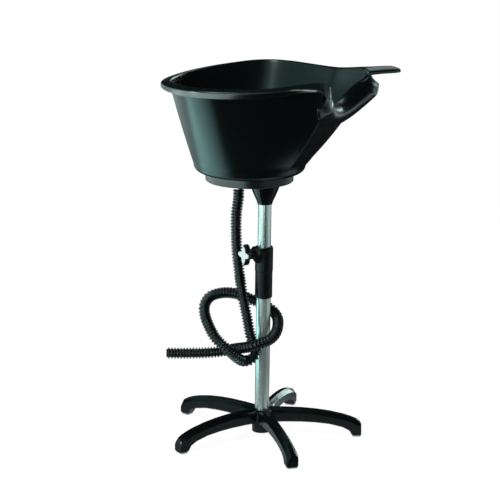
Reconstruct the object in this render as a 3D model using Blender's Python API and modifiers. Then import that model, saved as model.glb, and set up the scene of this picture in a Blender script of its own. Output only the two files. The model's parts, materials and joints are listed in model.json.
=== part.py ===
"""Portable shampoo basin: a moulded bowl with a neck rest, on a telescopic mast with a five-arm foot.

Lengths are in metres and +Z is up. Every group of sizes below belongs to one piece or to one
assembly. The mast axis is vertical; the stand, the mast and the basin are built round it, and the
whole is moved at the end so that the origin lies on the floor under the middle of the object.
"""

import math

import bmesh
import bpy
import numpy as np
from mathutils import Matrix, Vector

# Clearances and overruns
FACE_GAP = 0.0003
OVERRUN = 0.002
WELD = 0.0000002
SMOOTH_ANGLE = math.radians(35)

# Mast tubes
LOWER_TUBE_RADIUS = 0.0175
TUBE_WALL = 0.0012
UPPER_TUBE_RADIUS = 0.016
LOWER_TUBE_LENGTH = 0.444
UPPER_TUBE_LENGTH = 0.470
MAST_SHOW = 0.1045
ROUND_STEPS = 24

# Star base
ARM_COUNT = 5
STAR_TURN = math.radians(-0.7)
ARM_REACH = 0.2437
ARM_WIDTH = 0.029
ARM_RIDGE_WIDTH = 0.011
ARM_RIDGE_DROP = 0.0075
ARM_RIDGE_LIFT = 0.0030
ARM_TOP = 0.0695
ARM_UNDERSIDE = 0.0365
FOOT_LENGTH = 0.0225
ARM_ROUND = 0.003
ARM_SHARES = [
    (0.085, 1.0, 1.0, 1.25), (0.17, 1.0, 1.0, 1.18), (0.23, 1.0, 1.0, 1.04), (0.40, 0.986, 1.0, 0.98),
    (0.54, 0.947, 0.955, 0.97), (0.68, 0.881, 0.85, 0.97), (0.81, 0.781, 0.62, 0.98),
    (0.88, 0.708, 0.36, 1.0), (0.91, 0.667, 0.0, 1.0), (0.95, 0.61, 0.0, 1.0),
    (0.985, 0.53, 0.0, 0.98), (1.0, 0.42, 0.0, 0.92),
]
POCKET_WALL = 0.0035
POCKET_ROOF = 0.004
POCKET_SHARES = [(0.19, 0.38), (0.395, 0.575), (0.59, 0.77)]
HUB_RADIUS = 0.034
HUB_COLLAR_RADIUS = 0.0225
HUB_COLLAR_TOP = 0.0665
HUB_TOP_RADIUS = 0.028
HUB_TOP = 0.0632
HUB_SHOULDER = 0.056
HUB_NECK_RADIUS = 0.0235
HUB_NECK_TOP = 0.036
HUB_BOTTOM = 0.0095
HUB_RECESS_RADIUS = 0.0145
HUB_RECESS_TOP = 0.018
HUB_FLOOR = 0.006

# Glides under the feet
GLIDE_THICKNESS = 0.003
GLIDE_INSET = 0.0016
GLIDE_ROUND = 0.004
GLIDE_CORNER_STEPS = 2
GLIDE_PEG_RADIUS = 0.003
GLIDE_PEG_LENGTH = 0.009

# Hub fastening
BOLT_RADIUS = 0.004
HEX_SIDES = 6
BOLT_HEAD_RADIUS = 0.0075
BOLT_HEAD_HEIGHT = 0.0053
WASHER_RADIUS = 0.012
WASHER_THICKNESS = 0.0016
FOOT_PLUG_HEIGHT = 0.014
BOLT_REACH = 0.012

# Clamp sleeve on top of the lower tube
SLEEVE_LENGTH = 0.1254
SLEEVE_RADIUS = 0.0209
SLEEVE_COLLAR_RADIUS = 0.0217
SLEEVE_COLLAR_HEIGHT = 0.058
SLEEVE_HEAD = 0.0055
SLEEVE_BEVEL = 0.0015
SLEEVE_STEPS = 28
PAD_WAY_STEPS = 20
INSERT_STEPS = 24
CLAMP_AZIMUTH = math.radians(-144)
CLAMP_DROP = 0.0130
BOSS_END = 0.036
BOSS_RADIUS = 0.0125
BOSS_ROOT_HEIGHT = 0.0260
BOSS_ROOT_WIDTH = 0.0195
BOSS_ROOT = 0.010
BOSS_FLARE_SHARES = [(0.0, 1.0), (0.28, 0.86), (0.45, 0.55), (0.60, 0.28), (0.78, 0.09), (1.0, 0.0)]

# Clamp screw, its pressure pad and its knob, measured outward from the mast axis
PAD_RADIUS = 0.0055
PAD_LENGTH = 0.0087
PAD_CLEARANCE = 0.0006
INSERT_RADIUS = 0.0065
INSERT_LENGTH = 0.0074
STUD_RADIUS = 0.0037
STUD_CLEARANCE = 0.0004
KNOB_NECK_RADIUS = 0.012
KNOB_NECK_LENGTH = 0.0095
KNOB_GAP = 0.0009
KNOB_THICKNESS = 0.0135
KNOB_RADIUS = 0.026
KNOB_LOBES = 4
KNOB_LOBE_STEPS = 10
KNOB_LOBE_SHARE = 0.25
KNOB_BEVEL = 0.0022
KNOB_CAP_SHARE = 0.80
KNOB_CAP_THICKNESS = 0.0014
KNOB_CAP_BEVEL = 0.0005
KNOB_SOCKET_DEPTH = 0.016

# Mast end pieces
MAST_PLUG_LENGTH = 0.020
MAST_PLUG_RIM = 0.004
MAST_CAP_RIM = 0.0025
MAST_CAP_LENGTH = 0.014

# Socket under the bowl
SOCKET_HEIGHT = 0.0677
SOCKET_TUBE_DEPTH = 0.055
SOCKET_SHARES = [
    (1.0, 1.0), (0.82, 1.0), (0.585, 0.935), (0.33, 0.735), (0.09, 0.535), (0.0, 0.495),
]
SOCKET_RADIUS = 0.0360
LUG_DISTANCE = 0.046
LUG_RADIUS = 0.007
LUG_THICKNESS = 0.006
LUG_COUNT = 4
LUG_ROOT_SHARE = 0.75
MOUNT_PAD_RADIUS = 0.0315
MOUNT_PAD_DEPTH = 0.005
SCREW_BOSS_RADIUS = 0.0065
SCREW_BOSS_HEIGHT = 0.009
SCREW_RADIUS = 0.0019
SCREW_HEAD_RADIUS = 0.0042
SCREW_HEAD_HEIGHT = 0.0025
SCREW_HEAD_TOP_RADIUS = 0.0038
SCREW_BITE = 0.0065
SCREW_STEPS = 10
SMALL_STEPS = 16

# Bowl: plan and heights, measured from the mast axis and from the underside of its floor
BASIN_TURN = math.radians(-24.4)
BOWL_WALL = 0.0035
RIM_BACK = 0.212
RIM_LENGTH = 0.402
RIM_HALF_WIDTH = 0.231
RIM_HEIGHT = 0.235
RIM_SWEEP = 0.016
NECK_HALF_WIDTH = 0.126
NECK_DEPTH = 0.0603
NECK_FRONT = 0.209
NECK_SETBACK = 0.038
EAR_REACH = 0.250
EAR_HALF_WIDTH = 0.219
ROLL_DEPTH = 0.116
ROLL_BULGE = 0.022
FLANGE_WIDTH = 0.022
FLANGE_DROP = 0.0055
LIP_HEIGHT = 0.0155
CREST_ROUND = 0.018
EDGE_ROUND = 0.004
WALL_BULGE = 0.015
FLOOR_OFFSET = 0.041
FLOOR_RADIUS = 0.1005
CORNER_RADIUS = 0.1230
WALL_FOOT_RADIUS = 0.1295
CORNER_RISE = 0.0095
WALL_FOOT_RISE = 0.0225
FOOT_RING_RADIUS = 0.1046
FOOT_RING_WALL = 0.004
FOOT_RING_HEIGHT = 0.0185
FOOT_RING_EMBED = 0.0019
FLOOR_EMBED = 0.0007
BACK_STATIONS = 12
BACK_COLUMNS = 11
FRONT_PLACES = [12, 13, 14, 14.6, 15, 15.5, 16, 16.5, 17, 17.5, 18, 19, 20, 21, 22, 23, 24]
FOOT_RING_STEPS = 32
SIDE_CREST_SHARES = [
    (0.0, 0.0, -0.625), (0.007, 0.195, -0.594), (0.025, 0.381, -0.562), (0.062, 0.554, -0.469),
    (0.129, 0.723, -0.281), (0.216, 0.883, -0.062), (0.313, 0.983, 0.0), (0.428, 0.991, 0.0),
    (0.54, 0.935, 0.0), (0.647, 0.861, 0.031), (0.746, 0.766, 0.156), (0.833, 0.662, 0.406),
    (0.908, 0.593, 0.688), (0.97, 0.55, 0.906),
]
NECK_CREST_SHARES = [
    (0.421, 0.976, 0.038), (0.132, 0.952, 0.104), (0.0, 0.921, 0.196), (0.079, 0.857, 0.262),
    (0.263, 0.77, 0.312), (0.526, 0.667, 0.42), (0.737, 0.548, 0.577), (0.895, 0.413, 0.743),
    (0.974, 0.262, 0.876), (1.0, 0.123, 0.967), (1.0, 0.0, 1.0),
]
FRONT_EDGE_SHARES = [
    (0.812, 0.826, 0.063), (0.928, 0.973, 0.054), (1.0, 1.0, 0.141), (0.852, 0.612, 0.141),
    (0.852, 0.795, 0.373), (0.844, 0.836, 0.459), (0.836, 0.799, 0.615), (0.8, 0.685, 0.744),
    (0.768, 0.548, 0.852), (0.748, 0.402, 0.929), (0.736, 0.201, 0.981), (0.728, 0.0, 1.0),
]
FLANGE_WIDTH_SHARES = [1, 1, 1, 1, 1, 1, 1, 1, 1, 1, 1.1, 1.25, 1.7]
LIP_SHARES = [
    0.3, 0.36, 0.48, 0.62, 0.77, 0.9, 1, 1, 1, 1, 0.94, 0.76, 0.53, 0.36,
    0.25, 0.2, 0.2, 0.2, 0.2, 0.2, 0.2, 0.2, 0.2, 0.2, 0.2,
]
LIP_UPRIGHT_SHARES = [
    1, 1, 1, 1, 1, 1, 1, 1, 1, 1, 1, 1, 0.9, 0.65,
    0.4, 0.3, 0.2, 0.2, 0.2, 0.2, 0.2, 0.2, 0.2, 0.2, 0.2,
]
BULGE_SHARES = [
    0.02, 0.02, 0.02, 0.02, 0.02, 0.02, 0.02, 0.02, 0.02, 0.02, 0.02, 0.02, 0.03, 0.05,
    0.05, 0.05, 0.0, 0.15, 0.6, 0.9, 1.0, 1.0, 0.93, 0.85, 0.8,
]
CREST_ROUND_SHARES = [
    0.3, 0.3, 0.3, 0.3, 0.3, 0.3, 0.3, 0.3, 0.3, 0.3, 0.3, 0.3, 0.3, 0.3,
    0.3, 0.3, 0.35, 0.55, 0.8, 1.0, 1.0, 1.0, 1.0, 1.0, 1.0,
]
WALL_BULGE_SHARES = [
    0.2, 0.2, 0.2, 0.2, 0.2, 0.2, 0.2, 0.2, 0.2, 0.25, 0.4, 0.6, 0.8, 1.0,
    1.0, 1.0, 1.0, 1.0, 1.0, 1.0, 1.0, 1.0, 1.0, 1.0, 1.0,
]
WALL_SHARES = [0.0, 0.33, 0.66]
CREST_BEND_SHARES = [0.0, 0.33, 0.67, 1.0]
FLANGE_SHARES = [0.33, 0.67]
EDGE_BEND_SHARES = [0.0, 0.5, 1.0]
LIP_FOLD = 0.3

# Drain
DRAIN_OFFSET = 0.0686
DRAIN_HOLE_RADIUS = 0.0215
DRAIN_SEAT_RADIUS = 0.0315
DRAIN_SEAT_BEVEL = 0.0015
DRAIN_SEAT_DEPTH = 0.003
FLOOR_FALL = 0.004
DRAIN_FLANGE_RADIUS = 0.0300
DRAIN_FLANGE_THICKNESS = 0.0024
DRAIN_CUP_RADIUS = 0.0207
DRAIN_CUP_WALL = 0.0030
DRAIN_CUP_LENGTH = 0.0290
STRAINER_THICKNESS = 0.0016
STRAINER_LEDGE = 0.0016
STRAINER_HOLE_RADIUS = 0.0028
STRAINER_RINGS = [(0.0065, 4, 0.31), (0.0135, 8, 0.17)]
HOLE_STEPS = 6
LUG_ARC_STEPS = 8
GASKET_THICKNESS = 0.0022
GASKET_RADIUS = 0.0262
NUT_HEIGHT = 0.0065
NUT_RADIUS = 0.0262
CONNECTOR_RADIUS = 0.0235
CONNECTOR_FLOOR = 0.0030
CONNECTOR_BEVEL = 0.0020
BARB_RADIUS = 0.0084
BARB_LENGTH = 0.020
BARB_BORE = 0.0060

# Drain hose
HOSE_RADIUS = 0.0130
HOSE_VALLEY_RADIUS = 0.0112
HOSE_BORE_RADIUS = 0.0096
HOSE_RIBS = 136
HOSE_BORE_STEP = 0.0180
HOSE_STRAIGHT = 0.026
CLIP_WIDTH = 0.0062
CLIP_BAND = 0.0008
CLIP_SETBACK = 0.0024
CLIP_BLOCK_LENGTH = 0.012
CLIP_BLOCK_DEPTH = 0.0062
CLIP_SCREW_RADIUS = 0.0016
CLIP_HEAD_RADIUS = 0.0029
CLIP_HEAD_LENGTH = 0.0030
HOSE_ROUTE = [
    (-0.067, 0.028, 0.55), (-0.067, 0.025, 0.492), (-0.064, 0.021, 0.444),
    (-0.059, 0.012, 0.406), (-0.054, -0.004, 0.376), (-0.047, -0.014, 0.34),
    (-0.038, -0.024, 0.299), (-0.029, -0.033, 0.258), (-0.0205, -0.0355, 0.236),
    (-0.0185, -0.037, 0.222), (-0.0225, -0.040, 0.2105), (-0.0330, -0.044, 0.203),
    (-0.0450, -0.050, 0.2027), (-0.0560, -0.0595, 0.21), (-0.0710, -0.069, 0.2252),
    (-0.0885, -0.073, 0.2423), (-0.113, -0.063, 0.2638), (-0.129, -0.047, 0.2875),
    (-0.139, -0.031, 0.3092), (-0.141, -0.018, 0.329), (-0.130, -0.004, 0.347),
    (-0.105, 0.008, 0.354), (-0.082, 0.017, 0.353), (-0.060, 0.024, 0.347),
    (-0.038, 0.030, 0.337), (-0.018, 0.033, 0.328), (0.003, 0.033, 0.318),
    (0.023, 0.024, 0.307), (0.034, 0.010, 0.295), (0.036, -0.007, 0.283),
    (0.032, -0.025, 0.2695), (0.020, -0.044, 0.2585), (0.002, -0.058, 0.2528),
    (-0.023, -0.0645, 0.2453), (-0.045, -0.051, 0.2363), (-0.060, -0.035, 0.2292),
    (-0.076, -0.024, 0.223), (-0.103, -0.018, 0.2155), (-0.137, -0.016, 0.211),
    (-0.175, -0.016, 0.2095), (-0.204, -0.016, 0.209), (-0.232, -0.016, 0.209),
]
ROUTE_STEP = 0.002

# Heights that follow from the sizes above
TUBE_SEAT = HUB_RECESS_TOP + HUB_FLOOR
LOWER_TUBE_BOTTOM = TUBE_SEAT + FACE_GAP
LOWER_TUBE_TOP = LOWER_TUBE_BOTTOM + LOWER_TUBE_LENGTH
SLEEVE_TOP = LOWER_TUBE_TOP + SLEEVE_HEAD
SLEEVE_BOTTOM = SLEEVE_TOP - SLEEVE_LENGTH
CLAMP_HEIGHT = SLEEVE_TOP - CLAMP_DROP
SOCKET_BOTTOM = SLEEVE_TOP + MAST_SHOW
SOCKET_TOP = SOCKET_BOTTOM + SOCKET_HEIGHT
BASIN_LEVEL = SOCKET_TOP + FACE_GAP + MOUNT_PAD_DEPTH
MAST_TOP = SOCKET_BOTTOM + SOCKET_TUBE_DEPTH
MAST_BOTTOM = MAST_TOP - UPPER_TUBE_LENGTH
FLOOR_TOP = BOWL_WALL
DRAIN_SEAT = FLOOR_TOP - FLOOR_FALL - DRAIN_SEAT_DEPTH
DRAIN_FLANGE_TOP = DRAIN_SEAT + FACE_GAP + DRAIN_FLANGE_THICKNESS
DRAIN_CUP_BOTTOM = DRAIN_FLANGE_TOP - DRAIN_CUP_LENGTH
GASKET_TOP = DRAIN_SEAT - BOWL_WALL - FACE_GAP
NUT_TOP = GASKET_TOP - GASKET_THICKNESS - FACE_GAP
CONNECTOR_TOP = NUT_TOP - NUT_HEIGHT - FACE_GAP
CONNECTOR_BOTTOM = DRAIN_CUP_BOTTOM - FACE_GAP - CONNECTOR_FLOOR
HOSE_TOP = CONNECTOR_BOTTOM - FACE_GAP


def clear_scene():
    for obj in list(bpy.data.objects):
        bpy.data.objects.remove(obj, do_unlink=True)


def new_collection(name):
    collection = bpy.data.collections.new(name)
    bpy.context.scene.collection.children.link(collection)
    return collection


clear_scene()
PARTS = new_collection("portable_shampoo_basin")
CUTTERS = new_collection("cutters")


def material(name, colour, roughness, metallic=0.0):
    made = bpy.data.materials.new(name)
    made.use_nodes = True
    shader = made.node_tree.nodes["Principled BSDF"]
    shader.inputs["Base Color"].default_value = (*colour, 1.0)
    shader.inputs["Roughness"].default_value = roughness
    shader.inputs["Metallic"].default_value = metallic
    return made


def empty(name, location, parent=None, turn=0.0):
    made = bpy.data.objects.new(name, None)
    made.location = location
    made.rotation_euler = (0, 0, turn)
    made.parent = parent
    PARTS.objects.link(made)
    return made


def mesh_object(name, bm, collection=PARTS):
    data = bpy.data.meshes.new(name)
    bm.to_mesh(data)
    bm.free()
    made = bpy.data.objects.new(name, data)
    collection.objects.link(made)
    return made


def as_cutter(obj):
    for collection in list(obj.users_collection):
        collection.objects.unlink(obj)
    CUTTERS.objects.link(obj)
    obj.hide_render = True
    obj.display_type = "WIRE"
    return obj


def place(obj, parent, location=(0, 0, 0), turn=0.0):
    obj.parent = parent
    obj.location = location
    obj.rotation_euler = (0, 0, turn)
    return obj


def evaluated_mesh(obj):
    """A mesh of the object with its modifiers applied, and its loose seams joined."""
    bpy.context.view_layer.update()
    graph = bpy.context.evaluated_depsgraph_get()
    data = bpy.data.meshes.new_from_object(obj.evaluated_get(graph))
    bm = bmesh.new()
    bm.from_mesh(data)
    bmesh.ops.remove_doubles(bm, verts=bm.verts[:], dist=WELD)
    bmesh.ops.recalc_face_normals(bm, faces=bm.faces[:])
    bm.to_mesh(data)
    bm.free()
    return data


def settle(obj, surface=None):
    """Applies the modifiers, gives the piece its material and smooths its round faces."""
    data = evaluated_mesh(obj)
    if obj.type == "CURVE":
        made = bpy.data.objects.new(obj.name + "_mesh", data)
        PARTS.objects.link(made)
        made.matrix_world = obj.matrix_world
        name = obj.name
        bpy.data.objects.remove(obj)
        made.name = name
    else:
        made = obj
        made.modifiers.clear()
        made.data = data
    if surface:
        data.materials.clear()
        data.materials.append(surface)
    data.shade_smooth()
    data.set_sharp_from_angle(angle=SMOOTH_ANGLE)
    return made


def boolean(obj, other, operation="DIFFERENCE"):
    """Joins or cuts, with the other object taken in this object's own frame."""
    as_cutter(other)
    step = obj.modifiers.new(operation.lower(), "BOOLEAN")
    step.operation = operation
    step.object = other
    step.solver = "EXACT"
    return obj


def turned(name, profile, steps=ROUND_STEPS):
    """A solid turned round Z from (radius, height) points that run down its outer side."""
    data = bpy.data.meshes.new(name)
    points = [(radius, 0, height) for radius, height in profile]
    closed = profile[0][0] > 0 and profile[-1][0] > 0
    edges = [(i, i + 1) for i in range(len(points) - 1)]
    if closed:
        edges.append((len(points) - 1, 0))
    data.from_pydata(points, edges, [])
    made = bpy.data.objects.new(name, data)
    PARTS.objects.link(made)
    screw = made.modifiers.new("turn", "SCREW")
    screw.axis = "Z"
    screw.steps = steps
    screw.render_steps = steps
    screw.use_merge_vertices = True
    screw.merge_threshold = WELD
    return settle(made)


def rod(name, radius, bottom, top, steps=ROUND_STEPS):
    return turned(name, [(0, top), (radius, top), (radius, bottom), (0, bottom)], steps)


def ring(name, outer, inner, bottom, top, steps=ROUND_STEPS):
    return turned(name, [(outer, top), (outer, bottom), (inner, bottom), (inner, top)], steps)


def loft(name, rings):
    """A closed body through rings of equally many points, capped at its ends."""
    bm = bmesh.new()
    rows = [[bm.verts.new(point) for point in ring_points] for ring_points in rings]
    count = len(rows[0])
    for low, high in zip(rows, rows[1:]):
        for i in range(count):
            j = (i + 1) % count
            bm.faces.new((low[i], low[j], high[j], high[i]))
    bm.faces.new(rows[0])
    bm.faces.new(rows[-1])
    bmesh.ops.recalc_face_normals(bm, faces=bm.faces[:])
    return mesh_object(name, bm)


def turn_to_clamp(obj, distance, height):
    """Lays a piece made along Z on the clamp's axis, its own zero at this distance from the mast."""
    outward = Vector((math.cos(CLAMP_AZIMUTH), math.sin(CLAMP_AZIMUTH), 0))
    side = Vector((0, 0, 1)).cross(outward)
    turn = Matrix((side, Vector((0, 0, 1)), outward)).transposed()
    obj.data.transform(Matrix.Translation(outward * distance + Vector((0, 0, height))) @ turn.to_4x4())
    return obj


def smooth_curve(points, step):
    """Points about one step apart on a curve through the given ones, which leaves and ends straight."""
    points = np.array(points, float)
    chords = np.linalg.norm(np.diff(points, axis=0), axis=1)
    knots = np.concatenate([[0.0], np.cumsum(chords)])
    slopes = np.gradient(points, knots, axis=0)
    slopes[1] = slopes[0]
    slopes[-2] = slopes[-1]
    places = np.linspace(0, knots[-1], max(2, round(knots[-1] / step) + 1))
    index = np.clip(np.searchsorted(knots, places, side="right") - 1, 0, len(knots) - 2)
    width = (knots[index + 1] - knots[index])[:, None]
    share = (places - knots[index])[:, None] / width
    rise = 3 * share**2 - 2 * share**3
    lead = share * (1 - share) ** 2
    trail = share**2 * (share - 1)
    return (
        points[index] * (1 - rise)
        + points[index + 1] * rise
        + (slopes[index] * lead + slopes[index + 1] * trail) * width
    )


def even_points(points, count):
    """The same line in this many points, equally far apart along it."""
    lengths = np.concatenate([[0.0], np.cumsum(np.linalg.norm(np.diff(points, axis=0), axis=1))])
    places = np.linspace(0, lengths[-1], count)
    return np.column_stack([np.interp(places, lengths, points[:, axis]) for axis in range(3)])


def arm_section(along, top, underside, half):
    """The rounded outline of one arm across its length: flat below, with a raised ridge on top."""
    ridge = ARM_RIDGE_WIDTH / 2
    low = underside + ARM_ROUND
    shoulder = max(top - ARM_RIDGE_DROP, low + ARM_ROUND)
    return [
        (along, across, height)
        for across, height in (
            (-half + ARM_ROUND, underside), (half - ARM_ROUND, underside), (half, low),
            (half, shoulder - ARM_ROUND), (half - ARM_ROUND, shoulder),
            (ridge + ARM_ROUND, shoulder + ARM_RIDGE_LIFT), (ridge, top), (-ridge, top),
            (-ridge - ARM_ROUND, shoulder + ARM_RIDGE_LIFT), (-half + ARM_ROUND, shoulder),
            (-half, shoulder - ARM_ROUND), (-half, low),
        )
    ]


def arm_heights(share):
    """Top and underside of an arm at this share of its reach."""
    shares, tops, undersides, _ = zip(*ARM_SHARES)
    low = GLIDE_THICKNESS + FACE_GAP
    underside = low + np.interp(share, shares, undersides) * (ARM_UNDERSIDE - low)
    return float(np.interp(share, shares, tops)) * ARM_TOP, float(underside)


def star_arm(index):
    rings = [
        arm_section(share * ARM_REACH, *arm_heights(share), width * ARM_WIDTH / 2)
        for share, _, _, width in ARM_SHARES
    ]
    return loft(f"arm_{index}", rings)


def arm_pocket(index, number):
    """The hollow between two ribs on the underside of an arm."""
    half = ARM_WIDTH / 2 - POCKET_WALL
    rows = []
    for share in POCKET_SHARES[number]:
        top, underside = arm_heights(share)
        roof = top - ARM_RIDGE_DROP - POCKET_ROOF
        low = underside - ARM_ROUND
        along = share * ARM_REACH
        rows.append([(along, -half, low), (along, half, low), (along, half, roof), (along, -half, roof)])
    return loft(f"pocket_{index}_{number}", rows)


def turn_about_mast(obj, angle):
    obj.data.transform(Matrix.Rotation(angle, 4, "Z"))
    return obj


def make_star_base(stand, surface):
    """Five arms and their hub in one casting, hollow between ribs underneath."""
    bore = LOWER_TUBE_RADIUS + FACE_GAP
    hub = turned(
        "star_base",
        [
            (bore, HUB_COLLAR_TOP), (HUB_COLLAR_RADIUS, HUB_COLLAR_TOP), (HUB_TOP_RADIUS, HUB_TOP),
            (HUB_RADIUS, HUB_SHOULDER),
            (HUB_RADIUS, HUB_NECK_TOP), (HUB_NECK_RADIUS, HUB_NECK_TOP),
            (HUB_NECK_RADIUS, HUB_BOTTOM), (HUB_RECESS_RADIUS, HUB_BOTTOM),
            (HUB_RECESS_RADIUS, HUB_RECESS_TOP), (BOLT_RADIUS, HUB_RECESS_TOP),
            (BOLT_RADIUS, TUBE_SEAT), (bore, TUBE_SEAT),
        ],
    )
    for index in range(ARM_COUNT):
        angle = STAR_TURN + index * math.tau / ARM_COUNT
        boolean(hub, turn_about_mast(star_arm(index), angle), "UNION")
        for number in range(len(POCKET_SHARES)):
            boolean(hub, turn_about_mast(arm_pocket(index, number), angle))
        peg_hole = rod(
            f"peg_hole_{index}", GLIDE_PEG_RADIUS + FACE_GAP, 0, GLIDE_PEG_LENGTH + GLIDE_THICKNESS,
            steps=SCREW_STEPS,
        )
        peg_hole.data.transform(Matrix.Translation((ARM_REACH - FOOT_LENGTH / 2, 0, 0)))
        boolean(hub, turn_about_mast(peg_hole, angle))
    base = settle(hub, surface)
    return place(base, stand)


def make_glides(stand, surface):
    """A low pad under each foot, held by its peg."""
    for index in range(ARM_COUNT):
        length = FOOT_LENGTH / 2 - GLIDE_INSET
        width = ARM_WIDTH / 2 - GLIDE_INSET
        outline = []
        for corner in range(4):
            sign_x = (1, -1, -1, 1)[corner]
            sign_y = (1, 1, -1, -1)[corner]
            for step in range(GLIDE_CORNER_STEPS + 1):
                angle = (corner + step / GLIDE_CORNER_STEPS) * math.pi / 2
                x = sign_x * (length - GLIDE_ROUND) + GLIDE_ROUND * math.cos(angle)
                y = sign_y * (width - GLIDE_ROUND) + GLIDE_ROUND * math.sin(angle)
                outline.append((x, y))
        glide = loft(
            f"foot_glide_{index + 1}",
            [[(x, y, 0) for x, y in outline], [(x, y, GLIDE_THICKNESS) for x, y in outline]],
        )
        peg = rod(
            f"glide_peg_{index}", GLIDE_PEG_RADIUS, GLIDE_THICKNESS / 2, GLIDE_PEG_LENGTH,
            steps=SCREW_STEPS,
        )
        boolean(glide, peg, "UNION")
        glide = settle(glide, surface)
        angle = STAR_TURN + index * math.tau / ARM_COUNT
        middle = ARM_REACH - FOOT_LENGTH / 2
        place(glide, stand, (middle * math.cos(angle), middle * math.sin(angle), 0), angle)


def make_hub_fastening(stand, steel):
    """The plug in the foot of the lower tube, and the bolt and washer that draw it into the hub."""
    inner = LOWER_TUBE_RADIUS - TUBE_WALL - FACE_GAP
    plug = ring(
        "tube_foot_plug", inner, BOLT_RADIUS, LOWER_TUBE_BOTTOM, LOWER_TUBE_BOTTOM + FOOT_PLUG_HEIGHT
    )
    place(settle(plug, steel), stand)
    washer_top = HUB_RECESS_TOP - FACE_GAP
    washer = ring("hub_washer", WASHER_RADIUS, BOLT_RADIUS, washer_top - WASHER_THICKNESS, washer_top)
    place(settle(washer, steel), stand)
    head_top = washer_top - WASHER_THICKNESS - FACE_GAP
    bolt = rod("hub_bolt", BOLT_HEAD_RADIUS, head_top - BOLT_HEAD_HEIGHT, head_top, steps=HEX_SIDES)
    shank = rod(
        "bolt_shank", BOLT_RADIUS - FACE_GAP, head_top - FACE_GAP, TUBE_SEAT + BOLT_REACH,
        steps=SCREW_STEPS,
    )
    boolean(bolt, shank, "UNION")
    place(settle(bolt, steel), stand)


def make_lower_tube(stand, chrome):
    """The fixed tube of the mast, drilled near its top for the pressure pad."""
    tube = ring(
        "lower_tube", LOWER_TUBE_RADIUS, LOWER_TUBE_RADIUS - TUBE_WALL, LOWER_TUBE_BOTTOM, LOWER_TUBE_TOP
    )
    way = rod("pad_way_cut", PAD_RADIUS + PAD_CLEARANCE, 0, LOWER_TUBE_RADIUS + OVERRUN, steps=PAD_WAY_STEPS)
    boolean(tube, turn_to_clamp(way, 0, CLAMP_HEIGHT))
    place(settle(tube, chrome), stand)


def boss_rings():
    """Outlines of the trumpet-shaped boss, from inside the sleeve out to its round end."""
    start = SLEEVE_RADIUS - SLEEVE_BEVEL
    limit = CLAMP_DROP - FACE_GAP
    places = [(BOSS_ROOT, 1.0)]
    places += [(start + share * (BOSS_END - start), flare) for share, flare in BOSS_FLARE_SHARES]
    rings = []
    for distance, flare in places:
        high = BOSS_RADIUS + flare * (BOSS_ROOT_HEIGHT - BOSS_RADIUS)
        wide = BOSS_RADIUS + flare * (BOSS_ROOT_WIDTH - BOSS_RADIUS)
        angles = [i * math.tau / SLEEVE_STEPS for i in range(SLEEVE_STEPS)]
        rings.append([(wide * math.cos(a), min(high * math.sin(a), limit), distance) for a in angles])
    return rings


def make_clamp_sleeve(stand, plastic, brass):
    """The sleeve that closes the lower tube, with its clamp boss and the threaded insert in it."""
    bore = LOWER_TUBE_RADIUS + FACE_GAP
    head_bore = UPPER_TUBE_RADIUS + FACE_GAP
    collar_bottom = SLEEVE_TOP - SLEEVE_COLLAR_HEIGHT
    shelf = LOWER_TUBE_TOP + FACE_GAP
    sleeve = turned(
        "clamp_sleeve",
        [
            (0, SLEEVE_TOP), (SLEEVE_COLLAR_RADIUS - SLEEVE_BEVEL, SLEEVE_TOP),
            (SLEEVE_COLLAR_RADIUS, SLEEVE_TOP - SLEEVE_BEVEL), (SLEEVE_COLLAR_RADIUS, collar_bottom),
            (SLEEVE_RADIUS, collar_bottom - SLEEVE_BEVEL), (SLEEVE_RADIUS, SLEEVE_BOTTOM + SLEEVE_BEVEL),
            (SLEEVE_RADIUS - SLEEVE_BEVEL, SLEEVE_BOTTOM), (0, SLEEVE_BOTTOM),
        ],
        SLEEVE_STEPS,
    )
    boss = turn_to_clamp(loft("boss", boss_rings()), 0, CLAMP_HEIGHT)
    boolean(sleeve, boss, "UNION")
    way_end = BOSS_END - INSERT_LENGTH / 2
    pad_way = rod("sleeve_pad_way_cut", PAD_RADIUS + PAD_CLEARANCE, BOSS_ROOT, way_end, steps=PAD_WAY_STEPS)
    boolean(sleeve, turn_to_clamp(pad_way, 0, CLAMP_HEIGHT))
    insert_way = rod(
        "insert_way_cut", INSERT_RADIUS + FACE_GAP, 0, INSERT_LENGTH + OVERRUN, steps=INSERT_STEPS
    )
    boolean(sleeve, turn_to_clamp(insert_way, BOSS_END - INSERT_LENGTH - FACE_GAP, CLAMP_HEIGHT))
    boolean(sleeve, rod("sleeve_bore_cut", bore, SLEEVE_BOTTOM - OVERRUN, shelf, SLEEVE_STEPS))
    boolean(sleeve, rod("head_bore_cut", head_bore, SLEEVE_BOTTOM, SLEEVE_TOP + OVERRUN, SLEEVE_STEPS))
    place(settle(sleeve, plastic), stand)
    insert_bore = STUD_RADIUS + STUD_CLEARANCE
    insert = ring("clamp_insert", INSERT_RADIUS, insert_bore, 0, INSERT_LENGTH, steps=INSERT_STEPS)
    turn_to_clamp(insert, BOSS_END - INSERT_LENGTH, CLAMP_HEIGHT)
    place(settle(insert, brass), stand)


def knob_outline(radius, thickness, bevel):
    """A lobed plate along Z, with both its rims rounded over."""
    mean = radius * (1 - KNOB_LOBE_SHARE)
    swing = radius * KNOB_LOBE_SHARE
    steps = KNOB_LOBES * KNOB_LOBE_STEPS
    rings = []
    for inset, height in ((bevel, 0), (0, bevel), (0, thickness - bevel), (bevel, thickness)):
        outline = []
        for i in range(steps):
            angle = i * math.tau / steps
            reach = mean + swing * math.cos(KNOB_LOBES * angle) - inset
            outline.append((reach * math.cos(angle), reach * math.sin(angle), height))
        rings.append(outline)
    return rings


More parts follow.
